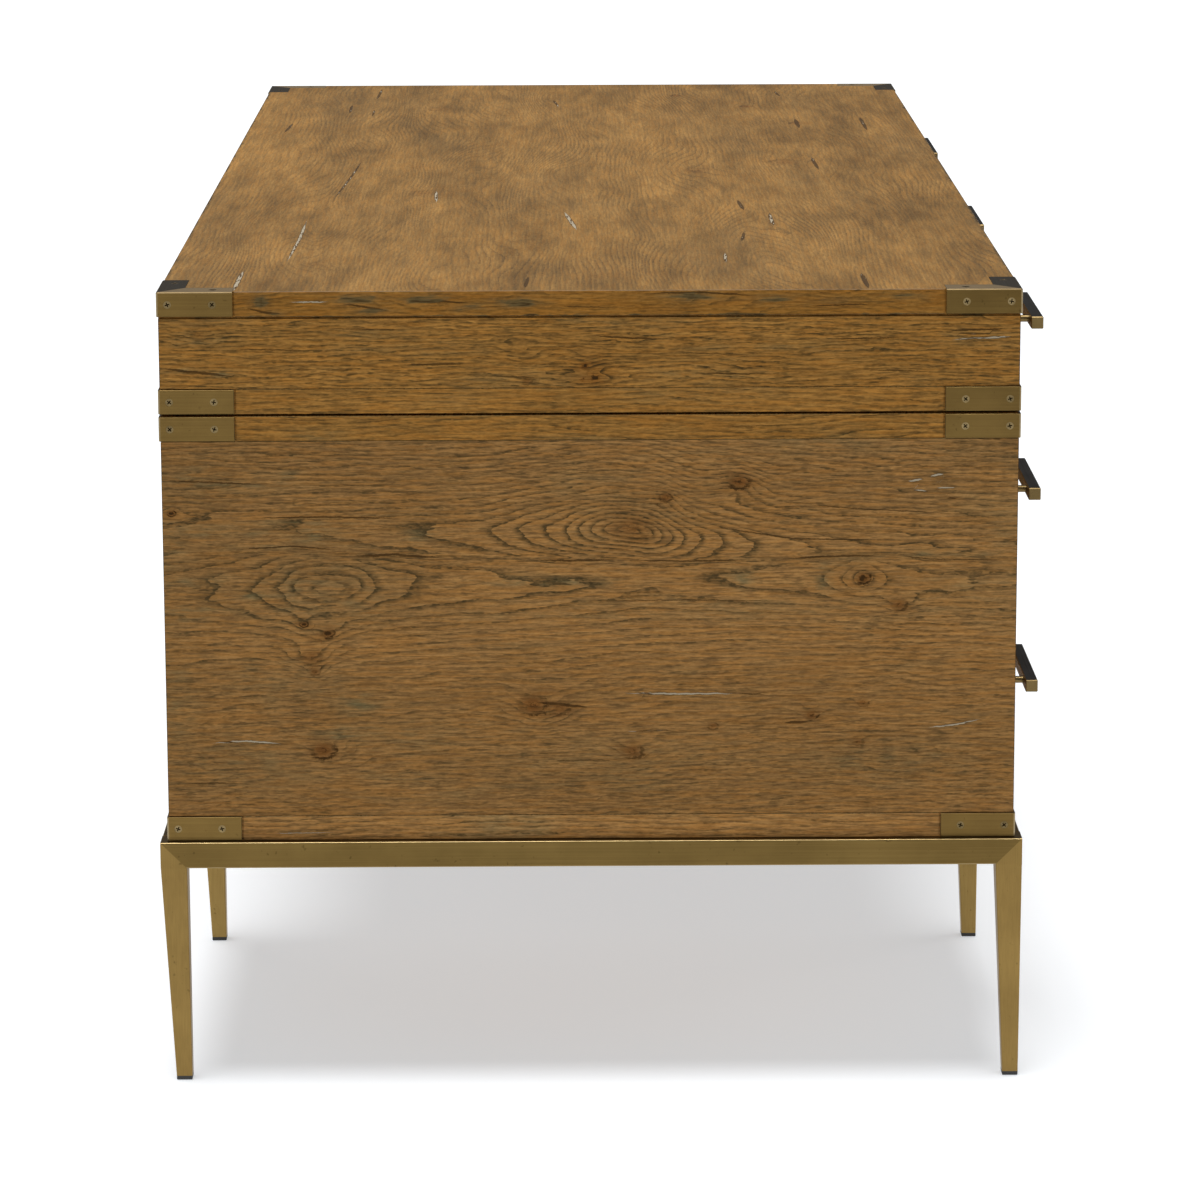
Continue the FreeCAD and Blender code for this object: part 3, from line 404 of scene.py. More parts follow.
def wood_board(node, material, seed, steps, stile=False, special=None, pitch=6.0, tone=0.0, side_edges=False, hidden=None, coarse=24.0, edge_material=None):
    """Stands a figured copy in for a board. steps are the grid's cells in mm along x, y and z; faces that hidden picks get coarse cells."""
    bm = bmesh.new()
    bm.from_mesh(NODES[node].data)
    bmesh.ops.remove_doubles(bm, verts=bm.verts[:], dist=1e-6)
    bmesh.ops.dissolve_limit(bm, angle_limit=math.radians(0.5), verts=bm.verts[:], edges=bm.edges[:])
    layer = bm.faces.layers.int.new("solid")
    seen, count = set(), 0
    for f in bm.faces:
        if f in seen:
            continue
        count += 1
        stack = [f]
        seen.add(f)
        while stack:
            g = stack.pop()
            g[layer] = count
            for e in g.edges:
                for h in e.link_faces:
                    if h not in seen:
                        seen.add(h)
                        stack.append(h)
    for axis, cell in enumerate(steps):
        if not cell:
            continue
        lo = min(v.co[axis] for v in bm.verts)
        hi = max(v.co[axis] for v in bm.verts)
        cross = [f for f in bm.faces if abs(f.normal[axis]) < 0.9]
        inner = {f for f in cross if hidden and hidden(f.normal, f.calc_center_median())}
        for faces, size in (([f for f in cross if f not in inner], cell), (list(inner), max(cell, coarse))):
            n = max(1, int(round((hi - lo) / (size * MM))))
            slice_faces(bm, faces, axis, [lo + (hi - lo) * (i + 0.5) / n for i in range(n)])
    me = bpy.data.meshes.new(node + "_oak")
    bm.to_mesh(me)
    bm.free()
    loops, polys = len(me.loops), len(me.polygons)
    where = np.zeros(loops, np.int32)
    me.loops.foreach_get("vertex_index", where)
    co = np.zeros(len(me.vertices) * 3, np.float32)
    me.vertices.foreach_get("co", co)
    co = co.reshape(-1, 3).astype(np.float64) * 1000.0
    total = np.zeros(polys, np.int32)
    me.polygons.foreach_get("loop_total", total)
    normal = np.zeros(polys * 3, np.float32)
    me.polygons.foreach_get("normal", normal)
    normal = normal.reshape(-1, 3)
    solid = np.zeros(polys, np.int32)
    me.attributes["solid"].data.foreach_get("value", solid)
    axis = np.abs(normal).argmax(1)
    sign = np.take_along_axis(normal, axis[:, None], 1)[:, 0] > 0
    bevel = np.abs(normal).max(1) < 0.98
    group = np.repeat(solid * 8 + axis * 2 + sign, total)
    edge = np.repeat(bevel, total)
    upward = np.repeat(bevel & (normal[:, 2] > 0.3), total)
    out = {k: np.zeros(loops) for k in ("u", "v") + KEYS}
    for key in np.unique(group):
        pick = np.nonzero(group == key)[0]
        once, back = np.unique(where[pick], return_inverse=True)
        ax, sg, sid = (key % 8) // 2, key % 2, key // 8
        x, y, z = co[once].T
        u, v = {0: (y, z), 1: (x, z), 2: (x, y)}[ax]
        if stile and ax == 1:
            u, v = z, x
        if side_edges and ax == 2 and np.ptp(y) > 3 * np.ptp(x):
            u, v = y, x
        own = special(ax, sg, x, y, z) if special else None
        if own is None:
            own = leaf(u, v, seed + 131 * int(key), pitch, straight=np.ptp(v) < 60)
        out["u"][pick], out["v"][pick] = (u * MM + 0.37 * (seed % 7) + 0.11 * ax)[back], (v * MM + 0.53 * (seed % 5) + 0.07 * sid)[back]
        for k in KEYS:
            out[k][pick] = own[k][back]
    out["tone"] = out["tone"] + tone
    # Painted highlight: bevels that face up are made lighter and greyer
    out["tone"] = np.where(upward, out["tone"] + 0.35, out["tone"])
    # Painted shade: the other bevels are darkened, which draws board edges and the seams between boards as dark lines
    out["dark"] = np.where(edge & ~upward, np.maximum(out["dark"], 0.45), out["dark"])
    out["grey"] = np.where(upward, np.maximum(out["grey"], 0.7), out["grey"])
    for name, keys in (("grain", ("u", "v", "F")), ("mark", ("tone", "grey", "dark")), ("more", ("gain", "red", "pores")), ("crack", ("crack_d", "crack_w", "filler")), ("ring", ("gap", "hue", "wear_and_shade")),
                       ("knot", ("knot_u", "knot_v", "knot_k"))):
        data = np.stack([out[k] for k in keys], 1).astype(np.float32)
        me.attributes.new(name, "FLOAT_VECTOR", "CORNER").data.foreach_set("vector", data.ravel())
    me.attributes.remove(me.attributes["solid"])
    me.materials.clear()
    me.materials.append(material)
    if edge_material:
        me.materials.append(edge_material)
    me.polygons.foreach_set("material_index", (np.abs(normal[:, 2]) < 0.6).astype(np.int32) if edge_material else np.zeros(polys, np.int32))
    piece = bpy.data.objects.new(node + "_oak", me)
    bpy.context.scene.collection.objects.link(piece)
    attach(piece, BODY[node])
    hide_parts(node)
    return piece


# ---------------------------------------------------------------- materials
class Graph:
    """Small helper to write shader nodes as expressions."""

    def __init__(self, name):
        self.mat = bpy.data.materials.new(name)
        self.mat.use_nodes = True
        self.tree = self.mat.node_tree
        self.tree.nodes.clear()
        self.out = self.tree.nodes.new("ShaderNodeOutputMaterial")
        self.bsdf = self.tree.nodes.new("ShaderNodeBsdfPrincipled")
        self.tree.links.new(self.bsdf.outputs[0], self.out.inputs[0])

    def put(self, socket, value):
        if isinstance(value, bpy.types.NodeSocket):
            self.tree.links.new(value, socket)
        else:
            socket.default_value = value

    def math(self, op, a, b=0.0, clamp=False):
        n = self.tree.nodes.new("ShaderNodeMath")
        n.operation, n.use_clamp = op, clamp
        self.put(n.inputs[0], a)
        self.put(n.inputs[1], b)
        return n.outputs[0]

    def mix(self, fac, a, b):
        n = self.tree.nodes.new("ShaderNodeMix")
        n.data_type = "RGBA"
        self.put(n.inputs[0], fac)
        self.put(n.inputs[6], a)
        self.put(n.inputs[7], b)
        return n.outputs[2]

    def scale_colour(self, colour, by):
        n = self.tree.nodes.new("ShaderNodeVectorMath")
        n.operation = "SCALE"
        self.put(n.inputs[0], colour)
        self.put(n.inputs["Scale"], by)
        return n.outputs[0]

    def attr(self, name):
        n = self.tree.nodes.new("ShaderNodeAttribute")
        n.attribute_name = name
        s = self.tree.nodes.new("ShaderNodeSeparateXYZ")
        self.tree.links.new(n.outputs["Vector"], s.inputs[0])
        return s.outputs

    def vec(self, x, y, z=0.0):
        n = self.tree.nodes.new("ShaderNodeCombineXYZ")
        for i, value in enumerate((x, y, z)):
            self.put(n.inputs[i], value)
        return n.outputs[0]

    def place(self):
        return self.tree.nodes.new("ShaderNodeTexCoord").outputs["Object"]

    def times(self, vector, scale):
        n = self.tree.nodes.new("ShaderNodeVectorMath")
        n.operation = "MULTIPLY"
        self.put(n.inputs[0], vector)
        n.inputs[1].default_value = scale
        return n.outputs[0]

    def noise(self, vector, scale, detail=2.0, rough=0.5, distort=0.0):
        n = self.tree.nodes.new("ShaderNodeTexNoise")
        n.inputs["Scale"].default_value = 1.0
        n.inputs["Detail"].default_value = detail
        n.inputs["Roughness"].default_value = rough
        n.inputs["Distortion"].default_value = distort
        self.put(n.inputs["Vector"], self.times(vector, scale))
        return n.outputs[0]

    def ramp(self, fac, stops):
        n = self.tree.nodes.new("ShaderNodeValToRGB")
        e = n.color_ramp.elements
        while len(e) < len(stops):
            e.new(0.5)
        for i, (pos, val) in enumerate(stops):
            e[i].position = pos
            e[i].color = (val, val, val, 1) if isinstance(val, (int, float)) else (*val, 1)
        self.put(n.inputs[0], fac)
        return n.outputs[0]

    def fit(self, x, a, b, c=0.0, d=1.0):
        n = self.tree.nodes.new("ShaderNodeMapRange")
        n.interpolation_type = "SMOOTHSTEP"
        self.put(n.inputs[0], x)
        for i, value in enumerate((a, b, c, d)):
            n.inputs[i + 1].default_value = value
        return n.outputs[0]

    def bump(self, height, strength, distance):
        n = self.tree.nodes.new("ShaderNodeBump")
        n.inputs["Strength"].default_value = strength
        n.inputs["Distance"].default_value = distance
        self.put(n.inputs["Height"], height)
        self.put(self.bsdf.inputs["Normal"], n.outputs[0])

    def set(self, **values):
        for key, value in values.items():
            self.put(self.bsdf.inputs[key.replace("_", " ")], value)
        return self.mat


def oak(name, light, mid, deep, grey, line, line_amount=0.85, pore_amount=0.66, rough=0.60, spec=0.03, filler=(0.37, 0.31, 0.215, 1), fine=1.0):
    """Open-grained oak, wire brushed, with dark wax in the pores. Colours are linear."""
    g = Graph(name)
    u, v, ring = g.attr("grain")
    tone, wax, dark = g.attr("mark")
    gain, red, open_pores = g.attr("more")
    crack_d, crack_w, filled = g.attr("crack")
    gap, hue, wear_and_shade = g.attr("ring")
    knot_u, knot_v, knot_k = g.attr("knot")
    p, p2 = g.vec(u, v), g.vec(u, v, 7.3)
    streak = g.noise(p, (9.5, 320.0, 1.0), 4.0, 0.6)
    fibre = g.noise(p, (46.0, 450.0, 1.0), 3.0, 0.6)
    dash = g.noise(p, (46.0, 400.0, 1.0), 2.0, 0.55)
    pick = g.noise(p, (75.0, 460.0, 1.0), 1.0, 0.5)
    mote = g.noise(p, (180.0, 430.0, 1.0), 2.0, 0.6)
    dots = g.noise(p, (150.0, 320.0, 1.0), 1.0, 0.5)
    warm = g.noise(p2, (30.0, 380.0, 1.0), 2.0, 0.5)
    shift = g.noise(p, (15.0, 110.0, 1.0), 2.0, 0.5)
    shake = g.noise(p, (75.0, 460.0, 1.0), 1.0, 0.5)
    phase = g.math("FRACT", g.math("ADD", ring, g.math("ADD", g.math("MULTIPLY", shift, 0.34), g.math("MULTIPLY", shake, g.math("MINIMUM", g.math("DIVIDE", 3.4, gap), 0.26)))))
    # a growth line is about 2 mm wide, sharp on its inner side, whatever the distance to the next one
    past = g.math("MULTIPLY", phase, gap)
    tail = g.math("DIVIDE", g.math("SUBTRACT", past, 0.9), g.math("ADD", g.math("MULTIPLY", gap, 0.24), 1.2), clamp=True)
    lines = g.math("MULTIPLY", g.fit(past, 0.0, 0.5), g.math("SUBTRACT", 1.0, tail))
    speck = g.math("MAXIMUM", g.fit(dots, 0.36, 0.60, 0.36, 1.0), g.math("SUBTRACT", gain, 0.80))
    lines = g.math("MULTIPLY", g.math("MULTIPLY", lines, g.math("MULTIPLY", speck, g.fit(mote, 0.36, 0.60, 0.60, 1.0))), gain, clamp=True)
    pores = g.math("MAXIMUM", g.math("MULTIPLY", g.fit(dash, 0.54, 0.61), g.fit(dots, 0.38, 0.56, 0.45, 1.0)), g.math("MULTIPLY", g.fit(pick, 0.57, 0.66), 0.8))
    pores = g.math("MULTIPLY", pores, g.math("MULTIPLY", open_pores, g.fit(phase, 0.9, 0.1, 0.65, 1.0)))
    base = g.mix(g.fit(streak, 0.34, 0.66), mid, light)
    base = g.mix(g.math("MULTIPLY", g.fit(fibre, 0.43, 0.62), 0.75 * fine), base, deep)
    # strokes of orange among the brown
    orange = (light[0] * 0.98, light[1] * 0.80, light[2] * 0.50, 1)
    base = g.mix(g.math("MULTIPLY", g.fit(g.math("ADD", warm, g.math("MULTIPLY", hue, 0.05)), 0.44, 0.62), 0.36), base, orange)
    waxed = g.math("MULTIPLY", wax, g.fit(g.noise(p, (45.0, 300.0, 1.0), 3.0, 0.65), 0.34, 0.60, 0.25, 1.0))
    base = g.mix(waxed, base, grey)
    base = g.scale_colour(base, g.math("ADD", g.math("ADD", 0.62, g.math("MULTIPLY", mote, 0.76 * fine)), g.math("MULTIPLY", tone, 0.30)))
    base = g.mix(g.math("MULTIPLY", red, g.fit(fibre, 0.3, 0.7, 0.5, 0.85)), base, (deep[0] * 1.22, deep[1] * 0.92, deep[2] * 0.6, 1))
    base = g.mix(g.math("MULTIPLY", lines, line_amount), base, line)
    base = g.mix(g.math("MULTIPLY", pores, pore_amount), base, (line[0] * 0.9, line[1] * 0.9, line[2] * 0.9, 1))
    rag = g.noise(p, (260.0, 330.0, 1.0), 3.0, 0.65)
    black = (0.044, 0.0215, 0.0060, 1)
    # Painted shade: the dark attribute blackens the bevels that do not face up
    base = g.mix(g.fit(g.math("ADD", dark, g.math("MULTIPLY", g.math("SUBTRACT", rag, 0.5), 0.9)), 0.18, 0.62), base, black)
    # knots: a broken dark rim, heavier on one side, round a warm heart with a few pits
    reach = g.math("SQRT", g.math("ADD", g.math("MULTIPLY", knot_u, knot_u), g.math("MULTIPLY", knot_v, knot_v)))
    reach = g.math("ADD", g.math("MULTIPLY", reach, g.math("ADD", 0.66, g.math("MULTIPLY", shift, 0.68))), g.math("MULTIPLY", g.math("SUBTRACT", rag, 0.5), 1.0))
    lean = g.math("ADD", g.math("ADD", g.math("MULTIPLY", knot_u, 0.45), g.math("MULTIPLY", knot_v, 0.55)), g.math("MULTIPLY", g.math("SUBTRACT", shift, 0.5), 3.0))
    rim = g.math("MULTIPLY", g.fit(g.math("ABSOLUTE", g.math("SUBTRACT", reach, 0.90)), 0.32, 0.06), g.math("MULTIPLY", g.fit(lean, -0.45, 0.45, 0.18, 1.0), g.fit(dash, 0.40, 0.54, 0.40, 1.0)))
    base = g.mix(g.math("MULTIPLY", g.math("MULTIPLY", g.fit(reach, 0.95, 0.30), knot_k), 0.62, clamp=True), base, (deep[0] * 0.95, deep[1] * 0.62, deep[2] * 0.34, 1))
    pits = g.math("MULTIPLY", g.fit(reach, 0.66, 0.25), g.math("MAXIMUM", g.fit(rag, 0.50, 0.60), g.fit(knot_k, 0.74, 0.95)))
    base = g.mix(g.math("MULTIPLY", g.math("MULTIPLY", g.math("MAXIMUM", rim, pits), knot_k), 1.2, clamp=True), base, black)
    # cracks: a dark line of uneven width, some of them closed with a pale filler that leaves a dark rim
    off = g.math("ABSOLUTE", g.math("ADD", crack_d, g.math("MULTIPLY", g.math("SUBTRACT", rag, 0.5), 1.7)))
    split = g.fit(g.math("SUBTRACT", g.math("MULTIPLY", crack_w, 1.25), off), 0.0, 0.45)
    base = g.mix(g.math("MULTIPLY", split, 0.80), base, black)
    stop = g.math("MULTIPLY", g.fit(g.math("SUBTRACT", g.math("MULTIPLY", crack_w, 0.85), off), 0.0, 0.35), g.fit(g.math("ADD", dash, g.math("MULTIPLY", g.math("SUBTRACT", filled, 1.0), 0.34)), 0.36, 0.46))
    base = g.mix(stop, base, filler)
    # the wear_and_shade attribute paints grey wear and black; at the joint under the desktop and along the top's far
    # and side edges it is painted shade
    worn_and_shaded = g.math("ADD", wear_and_shade, g.math("MULTIPLY", g.math("SUBTRACT", dash, 0.5), 0.9))
    base = g.mix(g.math("MULTIPLY", g.fit(worn_and_shaded, 0.30, 0.62), 0.85), base, (grey[0] * 0.67, grey[1] * 0.66, grey[2] * 0.60, 1))
    base = g.mix(g.fit(worn_and_shaded, 0.52, 0.80), base, black)
    height = g.math("SUBTRACT", g.math("MULTIPLY", fibre, 0.5), g.math("ADD", g.math("MULTIPLY", lines, 0.7), g.math("ADD", pores, g.math("MULTIPLY", split, 1.5))))
    g.bump(height, 0.30, 0.0006)
    sheen = g.math("ADD", g.math("MULTIPLY", g.math("SUBTRACT", streak, 0.5), 0.18), g.math("MULTIPLY", lines, 0.12))
    return g.set(Base_Color=base, Roughness=g.math("ADD", rough, sheen, clamp=True), Specular_IOR_Level=spec)


def brass(name, bright, shade, brush, rough=0.36, tarnish=0.5, lines=0.10, dim_to_minus_y_and_top=0.0):
    """Brushed, lacquered brass with a soft patina. brush is the noise scale along x, y and z; the short one is the brushing direction."""
    g = Graph(name)
    p = g.place()
    hair = g.noise(p, brush, 3.0, 0.65)
    cloud = g.noise(p, (14.0, 14.0, 14.0), 4.0, 0.6)
    fleck = g.noise(p, (160.0, 160.0, 160.0), 2.0, 0.6)
    t = g.math("ADD", g.math("MULTIPLY", g.fit(cloud, 0.3, 0.7), tarnish), g.math("MULTIPLY", g.fit(hair, 0.3, 0.7), 0.4))
    base = g.mix(g.math("MULTIPLY", t, 0.8, clamp=True), bright, shade)
    base = g.mix(g.fit(fleck, 0.66, 0.78, 0.0, 0.5), base, (shade[0] * 0.4, shade[1] * 0.38, shade[2] * 0.4, 1))
    # darker towards -y and upwards, by up to this fraction
    if dim_to_minus_y_and_top:
        side = g.tree.nodes.new("ShaderNodeSeparateXYZ")
        g.tree.links.new(p, side.inputs[0])
        base = g.scale_colour(base, g.math("SUBTRACT", 1.0, g.math("MULTIPLY", g.fit(side.outputs[1], 0.30, -0.30, 0.0, dim_to_minus_y_and_top), g.fit(side.outputs[2], 0.55, 0.76))))
    g.bump(hair, lines, 0.0003)
    r = g.math("ADD", rough, g.math("ADD", g.math("MULTIPLY", g.math("SUBTRACT", hair, 0.5), 0.22), g.math("MULTIPLY", g.math("SUBTRACT", cloud, 0.5), 0.2)))
    return g.set(Base_Color=base, Metallic=1.0, Roughness=r)


CASE = ((0.352, 0.1845, 0.0592, 1), (0.2575, 0.1346, 0.0442, 1), (0.154, 0.0808, 0.0281, 1), (0.185, 0.142, 0.064, 1), (0.045, 0.033, 0.014, 1))
OAK_CASE = oak("oak_case_wood", *CASE)
OAK_UPPER = oak("oak_case_wood_upper", (0.402, 0.1975, 0.0455, 1), (0.294, 0.1440, 0.0335, 1), (0.174, 0.0855, 0.0216, 1), (0.178, 0.134, 0.057, 1), (0.041, 0.029, 0.011, 1))
OAK_FRONT = oak("oak_drawer_front_wood", *CASE)
OAK_EDGE = oak("oak_top_edge_wood", (0.416, 0.1990, 0.0395, 1), (0.314, 0.1500, 0.0300, 1), (0.191, 0.0910, 0.0185, 1), (0.158, 0.118, 0.053, 1), (0.041, 0.029, 0.011, 1), pore_amount=0.65, fine=0.9)
OAK_TOP = oak("oak_top_wood", (0.404, 0.218, 0.061, 1), (0.293, 0.159, 0.047, 1), (0.207, 0.111, 0.032, 1), (0.165, 0.112, 0.050, 1), (0.062, 0.041, 0.020, 1),
              line_amount=0.7, pore_amount=0.34, rough=0.5, spec=0.22, fine=0.6, filler=(0.44, 0.375, 0.27, 1))
BOX_WOOD = oak("drawer_box_wood", (0.60, 0.43, 0.24, 1), (0.52, 0.36, 0.19, 1), (0.44, 0.29, 0.15, 1), (0.50, 0.37, 0.22, 1), (0.30, 0.19, 0.10, 1),
               line_amount=0.4, pore_amount=0.2, rough=0.6, spec=0.3)

STRAP = brass("strap_brass_face", (0.203, 0.127, 0.0385, 1), (0.140, 0.085, 0.0255, 1), (6.0, 6.0, 900.0), 0.40, 0.5, dim_to_minus_y_and_top=0.28)
# Painted shade on the straps' lips and a painted highlight on the bend round the desk's corner, as base colours
STRAP_LIP_PAINTED_SHADE = brass("strap_brass_lip_painted_shade", (0.118, 0.076, 0.026, 1), (0.080, 0.050, 0.017, 1), (30.0, 30.0, 300.0), 0.42, 0.4)
# Painted highlight on the upward-facing lips of the corner brackets
STRAP_RIM_PAINTED_HIGHLIGHT = brass("strap_brass_rim_painted_highlight", (0.215, 0.155, 0.078, 1), (0.155, 0.108, 0.052, 1), (30.0, 30.0, 300.0), 0.55, 0.3)
STRAP_BEND_PAINTED_HIGHLIGHT = brass("strap_brass_bend_painted_highlight", (0.30, 0.225, 0.115, 1), (0.21, 0.15, 0.07, 1), (30.0, 30.0, 300.0), 0.34, 0.3)
# Rails and legs are one brass; the rails' darker and the legs' lighter base colours are painted reflection, standing
# for the two brushing directions
RAIL = brass("base_brass_rail_painted_dim_reflection", (0.180, 0.116, 0.036, 1), (0.126, 0.0795, 0.024, 1), (5.0, 5.0, 1000.0), 0.38, 0.5)
# Painted light: a lighter copy of the leg brass for the legs under the desk, against the shade that falls there
LEG_IN_PAINTED_LIGHT = brass("base_brass_leg_inner_painted_light", (0.355, 0.236, 0.078, 1), (0.258, 0.168, 0.054, 1), (1000.0, 1000.0, 5.0), 0.38, 0.45)
LEG = brass("base_brass_leg_painted_bright_reflection", (0.275, 0.177, 0.056, 1), (0.197, 0.124, 0.039, 1), (1000.0, 1000.0, 5.0), 0.38, 0.45)
# Painted highlight: a much lighter brass on the base's bevels
BASE_EDGE_PAINTED_HIGHLIGHT = brass("base_brass_edge_painted_highlight", (0.34, 0.25, 0.115, 1), (0.24, 0.17, 0.075, 1), (60.0, 60.0, 60.0), 0.32, 0.3)
HANDLE = brass("handle_brass_bar", (0.20, 0.138, 0.055, 1), (0.13, 0.087, 0.034, 1), (6.0, 1000.0, 1000.0), 0.34, 0.5)
# Painted highlight: the handles' bevels get a lighter copy of the bar's brass
HANDLE_EDGE_PAINTED_HIGHLIGHT = brass("handle_brass_edge_painted_highlight", (0.24, 0.168, 0.072, 1), (0.16, 0.11, 0.046, 1), (60.0, 60.0, 60.0), 0.44, 0.3)
# Painted dark reflection: the handles' upward faces are near black
HANDLE_TOP_PAINTED_DARK_REFLECTION = brass("handle_brass_top_painted_dark_reflection", (0.040, 0.036, 0.030, 1), (0.026, 0.023, 0.019, 1), (6.0, 1000.0, 6.0), 0.42, 0.5)
SCREW = brass("screw_brass_head", (0.31, 0.225, 0.105, 1), (0.13, 0.09, 0.036, 1), (220.0, 220.0, 220.0), 0.34, 0.9)
# Painted shade: near black brass for the screws' slots and countersinks
RECESS_PAINTED_SHADE = brass("screw_brass_recess_painted_shade", (0.030, 0.021, 0.009, 1), (0.018, 0.012, 0.006, 1), (400.0, 400.0, 400.0), 0.6, 0.5)


def steel(name, light, dark, brush, rough):
    g = Graph(name)
    p = g.place()
    hair = g.noise(p, brush, 3.0, 0.6)
    cloud = g.noise(p, (35.0, 35.0, 35.0), 3.0, 0.55)
    base = g.mix(g.fit(cloud, 0.3, 0.7), light, dark)
    base = g.mix(g.fit(hair, 0.45, 0.8, 0.0, 0.35), base, (dark[0] * 0.6, dark[1] * 0.6, dark[2] * 0.62, 1))
    g.bump(hair, 0.08, 0.0003)
    return g.set(Base_Color=base, Metallic=1.0, Roughness=g.math("ADD", rough, g.math("MULTIPLY", g.math("SUBTRACT", cloud, 0.5), 0.25)))


def matte(name, light, dark, scale, rough, relief):
    g = Graph(name)
    p = g.place()
    grain = g.noise(p, (scale,) * 3, 4.0, 0.65)
    cloud = g.noise(p, (30.0,) * 3, 3.0, 0.5)
    base = g.mix(g.fit(grain, 0.3, 0.7), dark, light)
    base = g.mix(g.fit(cloud, 0.45, 0.75, 0.0, 0.4), base, dark)
    g.bump(grain, relief, 0.0005)
    return g.set(Base_Color=base, Roughness=g.math("ADD", rough, g.math("MULTIPLY", g.math("SUBTRACT", grain, 0.5), 0.2)))


SLIDE = steel("slide_zinc", (0.62, 0.63, 0.64, 1), (0.48, 0.49, 0.50, 1), (700.0, 8.0, 700.0), 0.34)
BOLT = steel("bolt_black_steel", (0.09, 0.088, 0.085, 1), (0.05, 0.05, 0.05, 1), (300.0, 300.0, 300.0), 0.42)
FELT = matte("pad_black_felt", (0.055, 0.05, 0.045, 1), (0.025, 0.023, 0.02, 1), 900.0, 0.92, 0.5)
GLIDE = matte("glide_dark_plastic", (0.035, 0.033, 0.030, 1), (0.018, 0.017, 0.016, 1), 700.0, 0.5, 0.15)


def dress(node, *mats, by=None):
    """Gives a CAD node its materials; by picks the one for each face from its normal and centre."""
    me = NODES[node].data
    me.materials.clear()
    for m in mats:
        me.materials.append(m)
    pick = [0] * len(me.polygons)
    if by:
        pick = [by(p.normal, p.center) for p in me.polygons]
    me.polygons.foreach_set("material_index", pick)


def bevels(n, c):
    return 1 if max(abs(n[0]), abs(n[1]), abs(n[2])) < 0.985 else 0


def strap_face(n, c):
    """Lips get painted shade, a dark outline like a shadow line; the bend round the desk's corner gets a painted
    highlight.
    """
    if not bevels(n, c):
        return 0
    return 1 if abs(n[2]) < 0.2 and abs(n[0]) > 0.05 and abs(n[1]) > 0.05 and min(abs(c[1] + 0.3905), abs(c[1] - 0.4205)) < 0.002 else 2


for node in ("upper_case_straps", "pedestal_straps"):
    dress(node, STRAP, STRAP_BEND_PAINTED_HIGHLIGHT, STRAP_LIP_PAINTED_SHADE, by=strap_face)
# Painted light on the corner brackets' top flanges: a painted highlight on the leg along the desk's end and a painted
# dark reflection on the leg along its side
FLANGE_END_PAINTED_HIGHLIGHT = brass("strap_brass_flange_end_painted_highlight", (0.42, 0.315, 0.185, 1), (0.33, 0.235, 0.13, 1), (900.0, 6.0, 6.0), 0.5, 0.4)
FLANGE_SIDE_PAINTED_DARK_REFLECTION = brass("strap_brass_flange_side_painted_dark_reflection", (0.092, 0.074, 0.052, 1), (0.060, 0.048, 0.034, 1), (6.0, 900.0, 6.0), 0.45, 0.5)
# The flanges are cut along the mitre so that their two legs can be brushed two ways and take the painted highlight and
# the painted dark reflection
bm = bmesh.new()
bm.from_mesh(NODES["top_corner_brackets"].data)
for sx in (-1, 1):
    for sy in (-1, 1):
        corner = Vector((sx * 0.838, 0.015 + sy * 0.405, 0.774))
        near = [f for f in bm.faces if f.normal.z > 0.99 and (f.calc_center_median() - corner).length < 0.1 and f.calc_center_median().z > 0.7735]
        geom = near + list({e for f in near for e in f.edges}) + list({v for f in near for v in f.verts})
        bmesh.ops.bisect_plane(bm, geom=geom, dist=1e-7, plane_co=corner, plane_no=(sx, -sy, 0.0))
bracket_me = bpy.data.meshes.new("top_corner_brackets_brushed_painted_light")
bm.to_mesh(bracket_me)
bm.free()


def bracket_face(n, c):
    # top flanges: painted highlight on the end leg, painted dark reflection on the side leg; upward lips painted
    # highlight, other lips painted shade
    if n[2] > 0.99 and c[2] > 0.7735:
        return 2 if 0.838 - abs(c[0]) < 0.405 - abs(c[1] - 0.015) else 3
    kind = strap_face(n, c)
    return 5 if kind == 2 and n[2] > 0.3 else 4 if kind == 2 else kind


bracket_me.materials.clear()
for m in (STRAP, STRAP_BEND_PAINTED_HIGHLIGHT, FLANGE_END_PAINTED_HIGHLIGHT, FLANGE_SIDE_PAINTED_DARK_REFLECTION, STRAP_LIP_PAINTED_SHADE, STRAP_RIM_PAINTED_HIGHLIGHT):
    bracket_me.materials.append(m)
bracket_me.polygons.foreach_set("material_index", [bracket_face(f.normal, f.center) for f in bracket_me.polygons])
brackets = bpy.data.objects.new("top_corner_brackets_brushed_painted_light", bracket_me)
bpy.context.scene.collection.objects.link(brackets)
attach(brackets, BODY["top_corner_brackets"])
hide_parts("top_corner_brackets")
# head tops take the screw brass; slots, countersinks and shanks the painted shade
dress("bracket_screws", SCREW, RECESS_PAINTED_SHADE, by=lambda n, c: 0 if min(abs(abs(c[0]) - 0.8395), abs(abs(c[0]) - 0.3865), abs(c[1] + 0.3915), abs(c[1] - 0.4215),
                                                               abs(c[2] - 0.7739)) < 1e-5 and max(abs(n[0]), abs(n[1]), n[2]) > 0.99 else 1)
dress("assembly_bolts", BOLT)
# rails keep the darker painted reflection colour
dress("base_rails", RAIL, BASE_EDGE_PAINTED_HIGHLIGHT, by=bevels)
